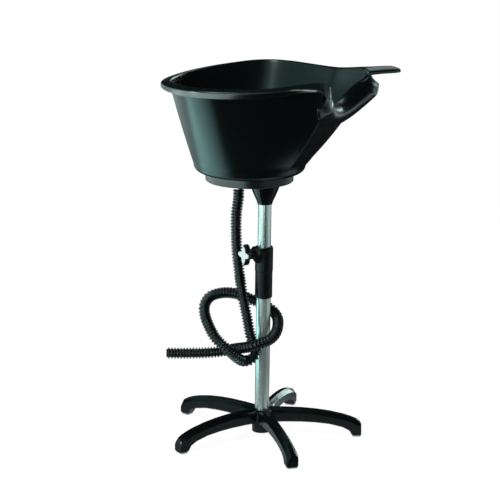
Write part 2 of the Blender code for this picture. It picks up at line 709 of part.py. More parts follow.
def make_clamp_screw(stand, plastic, steel, pale, nylon):
    """The pressure pad, and the knob with its stud and cover, on the clamp's axis."""
    direction = Vector((math.cos(CLAMP_AZIMUTH), math.sin(CLAMP_AZIMUTH), 0))
    pad_start = UPPER_TUBE_RADIUS + FACE_GAP
    pad = rod("clamp_pad", PAD_RADIUS, 0, PAD_LENGTH, steps=SMALL_STEPS)
    turn_to_clamp(pad, 0, 0)
    place(settle(pad, nylon), stand, (*(direction * pad_start).to_2d(), CLAMP_HEIGHT))
    axis = empty("clamp_screw_axis", (0, 0, CLAMP_HEIGHT), stand)
    neck_start = BOSS_END + KNOB_GAP
    head_start = neck_start + KNOB_NECK_LENGTH
    knob = loft("clamp_knob", knob_outline(KNOB_RADIUS, KNOB_THICKNESS, KNOB_BEVEL))
    turn_to_clamp(knob, head_start, 0)
    neck = rod("knob_neck", KNOB_NECK_RADIUS, 0, KNOB_NECK_LENGTH + KNOB_THICKNESS / 2)
    boolean(knob, turn_to_clamp(neck, neck_start, 0), "UNION")
    socket_radius = STUD_RADIUS + FACE_GAP
    socket = rod("knob_socket_cut", socket_radius, -OVERRUN, KNOB_SOCKET_DEPTH, steps=SMALL_STEPS)
    boolean(knob, turn_to_clamp(socket, neck_start, 0))
    place(settle(knob, plastic), axis)
    stud_start = pad_start + PAD_LENGTH + FACE_GAP
    stud_end = neck_start + KNOB_SOCKET_DEPTH - FACE_GAP
    stud = rod("clamp_stud", STUD_RADIUS, 0, stud_end - stud_start, steps=SMALL_STEPS)
    turn_to_clamp(stud, stud_start, 0)
    place(settle(stud, steel), axis)
    cap_radius = KNOB_RADIUS * KNOB_CAP_SHARE
    cap = loft("knob_cap", knob_outline(cap_radius, KNOB_CAP_THICKNESS, KNOB_CAP_BEVEL))
    turn_to_clamp(cap, head_start + KNOB_THICKNESS + FACE_GAP, 0)
    place(settle(cap, pale), axis)


def make_mast(mast, chrome, plastic):
    """The sliding tube, with the guide plug at its foot and the cap that the basin turns on."""
    inner = UPPER_TUBE_RADIUS - TUBE_WALL
    tube = ring("upper_tube", UPPER_TUBE_RADIUS, inner, MAST_BOTTOM, MAST_TOP)
    place(settle(tube, chrome), mast)
    plug = turned(
        "mast_end_plug",
        [
            (0, MAST_BOTTOM + MAST_PLUG_LENGTH), (inner - FACE_GAP, MAST_BOTTOM + MAST_PLUG_LENGTH),
            (inner - FACE_GAP, MAST_BOTTOM - FACE_GAP), (UPPER_TUBE_RADIUS, MAST_BOTTOM - FACE_GAP),
            (UPPER_TUBE_RADIUS, MAST_BOTTOM - MAST_PLUG_RIM), (0, MAST_BOTTOM - MAST_PLUG_RIM),
        ],
    )
    place(settle(plug, plastic), mast)
    cap = turned(
        "mast_cap",
        [
            (0, MAST_TOP + MAST_CAP_RIM), (UPPER_TUBE_RADIUS, MAST_TOP + MAST_CAP_RIM),
            (UPPER_TUBE_RADIUS, MAST_TOP + FACE_GAP), (inner - FACE_GAP, MAST_TOP + FACE_GAP),
            (inner - FACE_GAP, MAST_TOP - MAST_CAP_LENGTH), (0, MAST_TOP - MAST_CAP_LENGTH),
        ],
    )
    place(settle(cap, plastic), mast)


def side_stations():
    """Crest and outer edge of the rim from the middle of its back to the root of the ear."""
    crests = [
        Vector((
            along * RIM_LENGTH - RIM_BACK,
            across * RIM_HALF_WIDTH,
            RIM_HEIGHT + rise * RIM_SWEEP,
        ))
        for along, across, rise in SIDE_CREST_SHARES
    ]
    edges = []
    for index, width in enumerate(FLANGE_WIDTH_SHARES):
        before = crests[index - 1] if index else crests[1] * Vector((1, -1, 1))
        tangent = crests[index + 1] - before
        outward = Vector((-tangent.y, tangent.x, 0)).normalized()
        edges.append(crests[index] + outward * FLANGE_WIDTH * width - Vector((0, 0, FLANGE_DROP)))
    return crests, edges


def rim_stations():
    """Half the rim: crest, edge, lip, flange bulge, crest rounding, wall bulge and lip uprightness."""
    crests, edges = side_stations()
    ear_top = RIM_HEIGHT + RIM_SWEEP
    for setback, across, fall in NECK_CREST_SHARES:
        crests.append(Vector((
            NECK_FRONT - setback * NECK_SETBACK,
            across * NECK_HALF_WIDTH,
            ear_top - fall * NECK_DEPTH,
        )))
    for along, across, fall in FRONT_EDGE_SHARES:
        edges.append(Vector((along * EAR_REACH, across * EAR_HALF_WIDTH, ear_top - fall * ROLL_DEPTH)))
    rows = []
    for index, (crest, edge) in enumerate(zip(crests, edges)):
        rows.append([
            *crest, *edge,
            LIP_SHARES[index] * LIP_HEIGHT,
            BULGE_SHARES[index] * ROLL_BULGE,
            CREST_ROUND_SHARES[index] * CREST_ROUND,
            WALL_BULGE_SHARES[index] * WALL_BULGE,
            LIP_UPRIGHT_SHARES[index],
        ])
    return np.array(rows)


def rim_columns():
    """The whole rim, mirrored about the basin's middle plane and evenly interpolated."""
    half = rim_stations()
    flip = np.ones(half.shape[1])
    flip[[1, 4]] = -1
    whole = np.vstack([half, (half * flip)[-2:0:-1]])
    count = len(whole)
    back = np.linspace(0, BACK_STATIONS, BACK_COLUMNS, endpoint=False)
    side = np.concatenate([back, FRONT_PLACES])
    columns = []
    for place_on_rim in np.concatenate([side, count - side[-2:0:-1]]):
        index = int(place_on_rim)
        share = place_on_rim - index
        a, b, c, d = (whole[(index + step) % count] for step in (-1, 0, 1, 2))
        columns.append(
            b + 0.5 * share * (c - a + share * (2 * a - 5 * b + 4 * c - d + share * (3 * (b - c) + d - a)))
        )
    return np.array(columns)


def bend(start, corner, end, share):
    """A point on the round that replaces a corner."""
    return start * (1 - share) ** 2 + corner * 2 * share * (1 - share) + end * share**2


def arch(start, end, lift, share):
    """A point on the low arch that this lift raises over a straight line, and its direction there."""
    point = start.lerp(end, share) + lift * 4 * share * (1 - share)
    return point, end - start + lift * 4 * (1 - 2 * share)


def corner_of(start, along, end, back):
    """Where two directions come nearest to each other, as the corner that a bend then rounds."""
    along, back, gap = along.normalized(), back.normalized(), end - start
    cosine = along.dot(back)
    reach = (gap.dot(along) - gap.dot(back) * cosine) / (1 - cosine**2)
    other = (gap.dot(along) * cosine - gap.dot(back)) / (1 - cosine**2)
    return (start + along * reach + end + back * other) / 2


def column_section(row, tangent):
    """One column of the basin's inner face, from the drain hole up the wall and over the rim."""
    crest, edge = Vector(row[0:3]), Vector(row[3:6])
    lip, bulge, crest_round, wall_bulge, upright = row[6:11]
    angle = math.atan2(crest.y, crest.x + FLOOR_OFFSET)
    radial = Vector((math.cos(angle), math.sin(angle), 0))
    drain = Vector((-DRAIN_OFFSET, 0, 0))
    middle = Vector((-FLOOR_OFFSET, 0, 0))
    up = Vector((0, 0, 1))
    seat_floor = FLOOR_TOP - FLOOR_FALL
    points = [
        drain + radial * DRAIN_HOLE_RADIUS + up * DRAIN_SEAT,
        drain + radial * DRAIN_SEAT_RADIUS + up * DRAIN_SEAT,
        drain + radial * (DRAIN_SEAT_RADIUS + DRAIN_SEAT_BEVEL) + up * seat_floor,
        middle + radial * FLOOR_RADIUS + up * FLOOR_TOP,
        middle + radial * CORNER_RADIUS + up * CORNER_RISE,
    ]
    foot = middle + radial * WALL_FOOT_RADIUS + up * WALL_FOOT_RISE
    swell, chord = radial * wall_bulge, edge - crest
    face = chord.cross(tangent).normalized()
    wall_end = 1 - crest_round / (crest - foot).length
    flange_start = crest_round / chord.length
    flange_end = 1 - EDGE_ROUND / chord.length
    points += [arch(foot, crest, swell, share * wall_end)[0] for share in WALL_SHARES]
    below, rise = arch(foot, crest, swell, wall_end)
    over, run = arch(crest, edge, face * bulge, flange_start)
    corner = corner_of(below, rise, over, run)
    points += [bend(below, corner, over, share) for share in CREST_BEND_SHARES]
    for share in FLANGE_SHARES:
        place_on_flange = flange_start + share * (flange_end - flange_start)
        points.append(arch(crest, edge, face * bulge, place_on_flange)[0])
    last, run = arch(crest, edge, face * bulge, flange_end)
    lip_way = (-up * upright + (chord.normalized() * LIP_FOLD - face) * (1 - upright)).normalized()
    turned_under = edge + lip_way * EDGE_ROUND
    corner = corner_of(last, run, turned_under, lip_way)
    points += [bend(last, corner, turned_under, share) for share in EDGE_BEND_SHARES]
    points.append(turned_under + lip_way * max(lip - EDGE_ROUND, EDGE_ROUND / 2))
    return points


def bowl_skin():
    """The open inner face of the basin, which its wall is thickened from."""
    rows = rim_columns()
    count = len(rows)
    bm = bmesh.new()
    columns = []
    for index, row in enumerate(rows):
        tangent = Vector(rows[index - 1][0:3] - rows[(index + 1) % count][0:3])
        columns.append([bm.verts.new(point) for point in column_section(row, tangent)])
    for index, column in enumerate(columns):
        after = columns[(index + 1) % count]
        for low in range(len(column) - 1):
            bm.faces.new((column[low], after[low], after[low + 1], column[low + 1]))
    return mesh_object("basin_bowl", bm)


def shift_along(obj, along, across=0, up=0):
    obj.data.transform(Matrix.Translation((along, across, up)))
    return obj


def lug_places():
    """Where the socket's four lugs take their screws, in the basin's own plan."""
    angles = [(i + 0.5) * math.tau / LUG_COUNT for i in range(LUG_COUNT)]
    return [(LUG_DISTANCE * math.cos(angle), LUG_DISTANCE * math.sin(angle)) for angle in angles]


def make_bowl(basin, plastic):
    """The moulded bowl: one wall from drain to rim, with its foot ring, mounting pad and bosses."""
    bowl = bowl_skin()
    wall = bowl.modifiers.new("wall", "SOLIDIFY")
    wall.thickness = BOWL_WALL
    wall.offset = -1
    bowl = settle(bowl)
    foot = ring(
        "foot_ring", FOOT_RING_RADIUS, FOOT_RING_RADIUS - FOOT_RING_WALL, -FOOT_RING_HEIGHT,
        FOOT_RING_EMBED, steps=FOOT_RING_STEPS,
    )
    boolean(bowl, shift_along(foot, -FLOOR_OFFSET), "UNION")
    boolean(bowl, rod("mount_pad", MOUNT_PAD_RADIUS, -MOUNT_PAD_DEPTH, -FLOOR_EMBED), "UNION")
    for index, (x, y) in enumerate(lug_places()):
        boss = rod(
            f"screw_boss_{index}", SCREW_BOSS_RADIUS, -SCREW_BOSS_HEIGHT, -FLOOR_EMBED, steps=SMALL_STEPS
        )
        boolean(bowl, shift_along(boss, x, y), "UNION")
        hole = rod(
            f"screw_hole_{index}", SCREW_RADIUS + FACE_GAP, -SCREW_BOSS_HEIGHT - OVERRUN,
            SCREW_BITE - SCREW_BOSS_HEIGHT + FACE_GAP, steps=SCREW_STEPS,
        )
        boolean(bowl, shift_along(hole, x, y))
    place(settle(bowl, plastic), basin)


def make_socket(basin, gloss, steel):
    """The cone that takes the mast, and the screws through its lugs into the bowl."""
    bore = UPPER_TUBE_RADIUS + FACE_GAP
    bore_top = MAST_TOP + MAST_CAP_RIM + FACE_GAP - BASIN_LEVEL
    top = -MOUNT_PAD_DEPTH - FACE_GAP
    bottom = top - SOCKET_HEIGHT
    outer = [(radius * SOCKET_RADIUS, bottom + height * SOCKET_HEIGHT) for height, radius in SOCKET_SHARES]
    socket = turned("basin_socket", [(0, top), *outer, (bore, bottom), (bore, bore_top), (0, bore_top)])
    lug_top = -SCREW_BOSS_HEIGHT - FACE_GAP
    for index, (x, y) in enumerate(lug_places()):
        lug = loft(f"lug_{index}", [lug_outline(lug_top), lug_outline(lug_top - LUG_THICKNESS)])
        lug.data.transform(Matrix.Rotation(math.atan2(y, x), 4, "Z"))
        boolean(socket, lug, "UNION")
        hole = rod(
            f"lug_hole_{index}", SCREW_RADIUS + FACE_GAP, lug_top - LUG_THICKNESS - OVERRUN,
            lug_top + OVERRUN, steps=SCREW_STEPS,
        )
        boolean(socket, shift_along(hole, x, y))
    relief_radius = DRAIN_SEAT_RADIUS + DRAIN_SEAT_BEVEL + BOWL_WALL + FACE_GAP
    relief_bottom = DRAIN_SEAT - BOWL_WALL - OVERRUN
    relief = rod("drain_relief", relief_radius, relief_bottom, top + OVERRUN)
    boolean(socket, shift_along(relief, -DRAIN_OFFSET))
    place(settle(socket, gloss), basin)
    head_top = lug_top - LUG_THICKNESS - FACE_GAP
    for index, (x, y) in enumerate(lug_places()):
        screw = turned(
            f"socket_screw_{index + 1}",
            [
                (0, SCREW_BITE - SCREW_BOSS_HEIGHT), (SCREW_RADIUS, SCREW_BITE - SCREW_BOSS_HEIGHT),
                (SCREW_RADIUS, head_top), (SCREW_HEAD_RADIUS, head_top),
                (SCREW_HEAD_TOP_RADIUS, head_top - SCREW_HEAD_HEIGHT), (0, head_top - SCREW_HEAD_HEIGHT),
            ],
            SCREW_STEPS,
        )
        place(settle(screw, steel), basin, (x, y, 0))


def lug_outline(height):
    """The plan of a lug along X: a bar from inside the cone, round at its end."""
    arc = [(step / LUG_ARC_STEPS - 0.5) * math.pi for step in range(LUG_ARC_STEPS + 1)]
    return [
        (SOCKET_RADIUS * LUG_ROOT_SHARE, LUG_RADIUS, height),
        (SOCKET_RADIUS * LUG_ROOT_SHARE, -LUG_RADIUS, height),
        *((LUG_DISTANCE + LUG_RADIUS * math.cos(a), LUG_RADIUS * math.sin(a), height) for a in arc),
    ]


def make_drain(basin, steel, gloss, rubber):
    """The waste: a flanged cup clamped through the bowl by its nut, with strainer and hose tail."""
    cup_inner = DRAIN_CUP_RADIUS - DRAIN_CUP_WALL
    recess = cup_inner + STRAINER_LEDGE
    ledge = DRAIN_FLANGE_TOP - STRAINER_THICKNESS - FACE_GAP
    flange_bottom = DRAIN_SEAT + FACE_GAP
    body = turned(
        "drain_body",
        [
            (recess, DRAIN_FLANGE_TOP), (DRAIN_FLANGE_RADIUS - DRAIN_FLANGE_THICKNESS / 2, DRAIN_FLANGE_TOP),
            (DRAIN_FLANGE_RADIUS, DRAIN_FLANGE_TOP - DRAIN_FLANGE_THICKNESS / 2),
            (DRAIN_FLANGE_RADIUS, flange_bottom), (DRAIN_CUP_RADIUS, flange_bottom),
            (DRAIN_CUP_RADIUS, DRAIN_CUP_BOTTOM), (cup_inner, DRAIN_CUP_BOTTOM),
            (cup_inner, ledge), (recess, ledge),
        ],
    )
    place(settle(body, steel), basin, (-DRAIN_OFFSET, 0, 0))
    strainer = rod("drain_strainer", recess - FACE_GAP, ledge + FACE_GAP, DRAIN_FLANGE_TOP)
    for radius, count, lead in STRAINER_RINGS:
        for index in range(count):
            angle = (index + lead) * math.tau / count
            hole = rod(
                f"strainer_hole_{count}_{index}", STRAINER_HOLE_RADIUS, ledge - OVERRUN,
                DRAIN_FLANGE_TOP + OVERRUN, steps=HOLE_STEPS,
            )
            boolean(strainer, shift_along(hole, radius * math.cos(angle), radius * math.sin(angle)))
    place(settle(strainer, steel), basin, (-DRAIN_OFFSET, 0, 0))
    inner = DRAIN_CUP_RADIUS + FACE_GAP
    gasket = ring("drain_gasket", GASKET_RADIUS, inner, GASKET_TOP - GASKET_THICKNESS, GASKET_TOP)
    place(settle(gasket, rubber), basin, (-DRAIN_OFFSET, 0, 0))
    nut = rod("drain_nut", NUT_RADIUS, NUT_TOP - NUT_HEIGHT, NUT_TOP, steps=HEX_SIDES)
    boolean(nut, rod("nut_bore_cut", inner, NUT_TOP - NUT_HEIGHT - OVERRUN, NUT_TOP + OVERRUN))
    place(settle(nut, gloss), basin, (-DRAIN_OFFSET, 0, 0))
    barb_bottom = CONNECTOR_BOTTOM - BARB_LENGTH
    connector = turned(
        "hose_connector",
        [
            (inner, CONNECTOR_TOP), (CONNECTOR_RADIUS, CONNECTOR_TOP),
            (CONNECTOR_RADIUS, CONNECTOR_BOTTOM + CONNECTOR_BEVEL),
            (CONNECTOR_RADIUS - CONNECTOR_BEVEL, CONNECTOR_BOTTOM), (BARB_RADIUS, CONNECTOR_BOTTOM),
            (BARB_RADIUS, barb_bottom), (BARB_BORE, barb_bottom),
            (BARB_BORE, CONNECTOR_BOTTOM + CONNECTOR_FLOOR), (inner, CONNECTOR_BOTTOM + CONNECTOR_FLOOR),
        ],
    )
    place(settle(connector, gloss), basin, (-DRAIN_OFFSET, 0, 0))


def make_hose_clip(basin, steel):
    """The worm-drive band that holds the hose on its tail, and its screw."""
    inner = HOSE_RADIUS + FACE_GAP
    outer = inner + CLIP_BAND
    top = HOSE_TOP - CLIP_SETBACK
    bottom = top - CLIP_WIDTH
    clip = ring("hose_clip", outer, inner, bottom, top)
    housing = box_mesh("clip_housing", CLIP_BLOCK_DEPTH, CLIP_BLOCK_LENGTH, CLIP_WIDTH)
    screw_x = outer + CLIP_BLOCK_DEPTH / 2 - CLIP_BAND / 2
    screw_z = (top + bottom) / 2
    boolean(clip, shift_along(housing, screw_x, 0, screw_z), "UNION")
    lying = Matrix.Rotation(math.pi / 2, 4, "X")
    hole = rod(
        "clip_hole", CLIP_SCREW_RADIUS + FACE_GAP, -CLIP_BLOCK_LENGTH, CLIP_BLOCK_LENGTH, steps=SCREW_STEPS
    )
    hole.data.transform(lying)
    boolean(clip, shift_along(hole, screw_x, 0, screw_z))
    boolean(clip, rod("clip_bore_cut", inner, bottom - OVERRUN, top + OVERRUN))
    place(settle(clip, steel), basin, (-DRAIN_OFFSET, 0, 0))
    head = CLIP_BLOCK_LENGTH / 2 + FACE_GAP
    screw = turned(
        "hose_clip_screw",
        [
            (0, head + CLIP_HEAD_LENGTH), (CLIP_HEAD_RADIUS, head + CLIP_HEAD_LENGTH),
            (CLIP_HEAD_RADIUS, head), (CLIP_SCREW_RADIUS, head), (CLIP_SCREW_RADIUS, -head), (0, -head),
        ],
        SCREW_STEPS,
    )
    screw.data.transform(lying)
    place(settle(shift_along(screw, screw_x, 0, screw_z), steel), basin, (-DRAIN_OFFSET, 0, 0))


def box_mesh(name, along, across, height):
    bm = bmesh.new()
    bmesh.ops.create_cube(bm, size=1)
    bmesh.ops.transform(bm, matrix=Matrix.Diagonal((along, across, height, 1)), verts=bm.verts[:])
    return mesh_object(name, bm)


def hose_line():
    """The hose's middle line: straight down from its tail, through the route, and straight at its end."""
    drain_x = -DRAIN_OFFSET * math.cos(BASIN_TURN)
    drain_y = -DRAIN_OFFSET * math.sin(BASIN_TURN)
    top = BASIN_LEVEL + HOSE_TOP
    ends = [(drain_x, drain_y, top), (drain_x, drain_y, top - HOSE_STRAIGHT)]
    return smooth_curve(ends + HOSE_ROUTE, ROUTE_STEP)


def poly_tube(name, points, radius, shares):
    curve = bpy.data.curves.new(name, "CURVE")
    curve.dimensions = "3D"
    curve.bevel_depth = radius
    curve.bevel_resolution = 2
    curve.use_fill_caps = True
    spline = curve.splines.new("POLY")
    spline.points.add(len(points) - 1)
    for spot, point, share in zip(spline.points, points, shares):
        spot.co = (*point, 1)
        spot.radius = share
    made = bpy.data.objects.new(name, curve)
    PARTS.objects.link(made)
    return made


def print_hose_room(line):
    """Says how long the hose is and how near it comes to itself, surface to surface."""
    points = even_points(line, len(line))
    step = np.linalg.norm(points[1] - points[0])
    apart = np.linalg.norm(points[:, None] - points[None], axis=2)
    index = np.arange(len(points))
    along = np.abs(index[:, None] - index[None]) * step
    apart[along < math.pi * HOSE_RADIUS] = np.inf
    gap = apart.min() - 2 * HOSE_RADIUS
    print(f"hose length {step * (len(points) - 1):.3f} m, least gap to itself {gap:.4f} m")


def make_hose(basin, rubber):
    """The ribbed drain hose, knotted once round the mast and left open at its far end."""
    line = hose_line()
    print_hose_room(line)
    ribbed = even_points(line, 2 * HOSE_RIBS + 1)
    valley = HOSE_VALLEY_RADIUS / HOSE_RADIUS
    shares = [1 if index % 2 == 0 else valley for index in range(len(ribbed))]
    hose = settle(poly_tube("drain_hose", ribbed, HOSE_RADIUS, shares))
    length = len(line) * ROUTE_STEP
    middle = even_points(line, round(length / HOSE_BORE_STEP))
    reach = OVERRUN / HOSE_BORE_STEP
    middle[0] += (middle[0] - middle[1]) * reach
    middle[-1] += (middle[-1] - middle[-2]) * reach
    bore = settle(poly_tube("hose_bore_cut", middle, HOSE_BORE_RADIUS, np.ones(len(middle))))
    boolean(hose, bore)
    place(settle(hose, rubber), basin, (0, 0, -BASIN_LEVEL), -BASIN_TURN)


def centre_on_floor(root):
    """Moves the whole so that the origin lies under the middle of it, the loose hose left out."""
    bpy.context.view_layer.update()
    corners = [
        obj.matrix_world @ vertex.co
        for obj in PARTS.objects
        if obj.type == "MESH" and obj.name != "drain_hose"
        for vertex in obj.data.vertices
    ]
    points = np.array(corners)
    middle = (points.min(axis=0) + points.max(axis=0)) / 2
    root.location = (-middle[0], -middle[1], 0)
    print(f"the mast stands at x {-middle[0]:.6f} m, y {-middle[1]:.6f} m")


def build():
    black = material("black_plastic", (0.012, 0.014, 0.014), 0.32)
    black_gloss = material("black_gloss", (0.010, 0.011, 0.011), 0.18)
    hose_black = material("hose_plastic", (0.014, 0.015, 0.015), 0.40)
    seal_black = material("seal_rubber", (0.02, 0.02, 0.02), 0.7)
    knob_pale = material("knob_pale", (0.72, 0.74, 0.72), 0.25)
    glide_pale = material("glide_pale", (0.62, 0.64, 0.62), 0.45)
    nylon = material("nylon_white", (0.70, 0.70, 0.66), 0.45)
    chrome = material("chrome", (0.72, 0.74, 0.74), 0.16, 1.0)
    steel = material("bright_steel", (0.60, 0.60, 0.60), 0.3, 1.0)
    brass = material("brass", (0.70, 0.52, 0.24), 0.3, 1.0)
    root = empty("shampoo_basin_origin", (0, 0, 0))
    stand = empty("stand", (0, 0, 0), root)
    mast = empty("mast_slide", (0, 0, 0), root)
    basin = empty("basin_turntable", (0, 0, BASIN_LEVEL), mast, BASIN_TURN)
    make_star_base(stand, black_gloss)
    make_glides(stand, glide_pale)
    make_hub_fastening(stand, steel)
    make_lower_tube(stand, chrome)
    make_clamp_sleeve(stand, black, brass)
    make_clamp_screw(stand, black, steel, knob_pale, nylon)
    make_mast(mast, chrome, black)
    make_bowl(basin, black)
    make_socket(basin, black_gloss, steel)
    make_drain(basin, steel, black, seal_black)
    make_hose_clip(basin, steel)
    make_hose(basin, hose_black)
    centre_on_floor(root)


build()
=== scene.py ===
"""Dresses the portable shampoo basin: finer bowl and hose, finishes, studio and camera."""

import json
import math

import bmesh
import bpy
import numpy as np
from mathutils import Matrix, Vector


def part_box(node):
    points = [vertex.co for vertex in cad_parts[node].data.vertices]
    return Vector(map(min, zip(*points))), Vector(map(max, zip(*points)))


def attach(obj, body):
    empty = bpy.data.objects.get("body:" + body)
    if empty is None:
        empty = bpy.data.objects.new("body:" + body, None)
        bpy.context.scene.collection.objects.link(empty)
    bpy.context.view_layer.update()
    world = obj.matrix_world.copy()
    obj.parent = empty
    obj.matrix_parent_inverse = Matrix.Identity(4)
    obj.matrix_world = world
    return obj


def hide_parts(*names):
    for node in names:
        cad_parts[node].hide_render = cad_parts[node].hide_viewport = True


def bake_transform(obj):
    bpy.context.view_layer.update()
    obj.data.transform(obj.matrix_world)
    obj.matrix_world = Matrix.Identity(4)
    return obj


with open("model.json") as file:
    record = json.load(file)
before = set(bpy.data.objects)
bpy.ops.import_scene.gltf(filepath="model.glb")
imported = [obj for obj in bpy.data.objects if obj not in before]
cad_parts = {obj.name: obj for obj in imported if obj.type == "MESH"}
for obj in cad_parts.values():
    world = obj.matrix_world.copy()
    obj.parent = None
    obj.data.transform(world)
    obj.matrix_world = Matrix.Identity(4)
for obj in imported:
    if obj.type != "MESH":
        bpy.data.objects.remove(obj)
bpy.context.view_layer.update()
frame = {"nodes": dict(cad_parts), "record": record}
low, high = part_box("upper_tube")
MAST = Vector(((low[0] + high[0]) / 2, (low[1] + high[1]) / 2, 0))
scene = bpy.context.scene
scene.view_settings.view_transform = "Standard"

# ---- Camera, at the photograph's place

FOCAL_PIXELS = 1800
FRAME_PIXELS = 500
SENSOR_WIDTH = 36
CLIP_END = 60
EYE = Vector((-0.0338, -4.1533, 1.5551))
PITCH = 0.2568
ROLL = 0.0129


def make_camera():
    data = bpy.data.cameras.new("camera")
    data.sensor_width = SENSOR_WIDTH
    data.lens = FOCAL_PIXELS / FRAME_PIXELS * data.sensor_width
    data.clip_end = CLIP_END
    made = bpy.data.objects.new("camera", data)
    scene.collection.objects.link(made)
    forward = Vector((0, math.cos(PITCH), -math.sin(PITCH)))
    right = Vector((1, 0, 0))
    up = right.cross(forward)
    turned_right = right * math.cos(ROLL) + up * math.sin(ROLL)
    turned_up = up * math.cos(ROLL) - right * math.sin(ROLL)
    turn = Matrix((turned_right, turned_up, -forward)).transposed()
    made.matrix_world = Matrix.Translation(EYE + MAST) @ turn.to_4x4()
    scene.camera = made


make_camera()

# ---- Hose route, in the mast's own plan

HOSE_RADIUS = 0.0137
HOSE_VALLEY_RADIUS = 0.0097
HOSE_BORE_RADIUS = 0.0088
HOSE_STRAIGHT = 0.026
HOSE_TOP = (-0.062472, 0.028339, 0.6179)
HOSE_PITCH = 0.0074
HOSE_SIDES = 20
RIB_RINGS = 10
RIB_STEEPNESS = 2.2
BORE_RING_STEP = 3
HOSE_SHARP_ANGLE = math.radians(60)
ROUTE_STEP = 0.001
FIRST_SIDE = (0.3, 0.9, 0.1)
HOSE_SPLIT = 0.458
HOSE_ROUTE = [
    (-0.067, 0.028, 0.55), (-0.067, 0.025, 0.492), (-0.064, 0.021, 0.444),
    (-0.059, 0.012, 0.406), (-0.054, -0.004, 0.376), (-0.047, -0.014, 0.34),
    (-0.038, -0.024, 0.299), (-0.029, -0.033, 0.258), (-0.0205, -0.0355, 0.236),
    (-0.0185, -0.037, 0.222), (-0.0225, -0.040, 0.2105), (-0.0330, -0.044, 0.203),
    (-0.0450, -0.050, 0.2027), (-0.0560, -0.0595, 0.21), (-0.0710, -0.069, 0.2252),
    (-0.0885, -0.073, 0.2423), (-0.113, -0.063, 0.2638), (-0.129, -0.047, 0.2875),
    (-0.139, -0.031, 0.3092), (-0.141, -0.018, 0.329), (-0.130, -0.004, 0.347),
    (-0.105, 0.008, 0.354), (-0.082, 0.017, 0.353), (-0.060, 0.024, 0.347),
    (-0.038, 0.030, 0.337), (-0.018, 0.033, 0.328), (0.003, 0.033, 0.318),
    (0.023, 0.024, 0.307), (0.034, 0.010, 0.295), (0.036, -0.007, 0.283),
    (0.032, -0.025, 0.2695), (0.020, -0.044, 0.2585), (0.002, -0.058, 0.2528),
    (-0.023, -0.0645, 0.2453), (-0.045, -0.051, 0.2363), (-0.060, -0.035, 0.2292),
    (-0.076, -0.024, 0.223), (-0.103, -0.018, 0.2155), (-0.137, -0.016, 0.211),
    (-0.175, -0.016, 0.2095), (-0.204, -0.016, 0.209), (-0.232, -0.016, 0.209),
]


def lengths_along(points):
    """How far along the line each of its points is."""
    steps = np.linalg.norm(np.diff(points, axis=0), axis=1)
    return np.concatenate([[0.0], np.cumsum(steps)])


def smooth_curve(points, step):
    """Points about one step apart on a curve through these, which leaves and ends straight."""
    points = np.array(points, float)
    knots = lengths_along(points)
    slopes = np.gradient(points, knots, axis=0)
    slopes[1] = slopes[0]
    slopes[-2] = slopes[-1]
    places = np.linspace(0, knots[-1], max(2, round(knots[-1] / step) + 1))
    index = np.clip(np.searchsorted(knots, places, side="right") - 1, 0, len(knots) - 2)
    width = (knots[index + 1] - knots[index])[:, None]
    share = (places - knots[index])[:, None] / width
    rise = 3 * share**2 - 2 * share**3
    lead = share * (1 - share) ** 2
    trail = share**2 * (share - 1)
    return (
        points[index] * (1 - rise) + points[index + 1] * rise
        + (slopes[index] * lead + slopes[index + 1] * trail) * width
    )


def even_points(points, count):
    lengths = lengths_along(points)
    places = np.linspace(0, lengths[-1], count)
    return np.column_stack([np.interp(places, lengths, points[:, axis]) for axis in range(3)])


def frames_along(points):
    """Two unit vectors across the line at each of its points, turning as little as they can."""
    tangents = np.gradient(points, axis=0)
    tangents /= np.linalg.norm(tangents, axis=1)[:, None]
    side = np.cross(tangents[0], FIRST_SIDE)
    pairs = []
    for tangent in tangents:
        side = side - tangent * (side @ tangent)
        side /= np.linalg.norm(side)
        pairs.append((side, np.cross(tangent, side)))
    return pairs


def hose_radius(place):
    """Corrugation: crests and valleys of even width, with steep sides."""
    wave = math.cos(place / HOSE_PITCH * math.tau)
    rise = (1 + math.tanh(RIB_STEEPNESS * wave) / math.tanh(RIB_STEEPNESS)) / 2
    return HOSE_VALLEY_RADIUS + (HOSE_RADIUS - HOSE_VALLEY_RADIUS) * rise


def hose_piece(name, line, pairs, places, low_index, high_index):
    """The hose between two of its points, with its bore, closed by a flat ring at each end."""
    bm = bmesh.new()
    rings = []
    outer = range(low_index, high_index + 1)
    stops = [(i, hose_radius(places[i])) for i in outer]
    for i in reversed(outer):
        if (high_index - i) % BORE_RING_STEP == 0 or i == low_index:
            stops.append((i, HOSE_BORE_RADIUS))
    for index, radius in stops:
        side, over = pairs[index]
        ring = []
        for step in range(HOSE_SIDES):
            angle = step * math.tau / HOSE_SIDES
            point = line[index] + (side * math.cos(angle) + over * math.sin(angle)) * radius
            ring.append(bm.verts.new(point))
        rings.append(ring)
    for ring, after in zip(rings, rings[1:] + rings[:1]):
        for step in range(HOSE_SIDES):
            beside = (step + 1) % HOSE_SIDES
            bm.faces.new((ring[step], ring[beside], after[beside], after[step]))
    bmesh.ops.recalc_face_normals(bm, faces=bm.faces[:])
    data = bpy.data.meshes.new(name)
    bm.to_mesh(data)
    bm.free()
    data.shade_smooth()
    data.set_sharp_from_angle(angle=HOSE_SHARP_ANGLE)
    made = bpy.data.objects.new(name, data)
    scene.collection.objects.link(made)
    return made


def length_of(points):
    return float(np.linalg.norm(np.diff(points, axis=0), axis=1).sum())


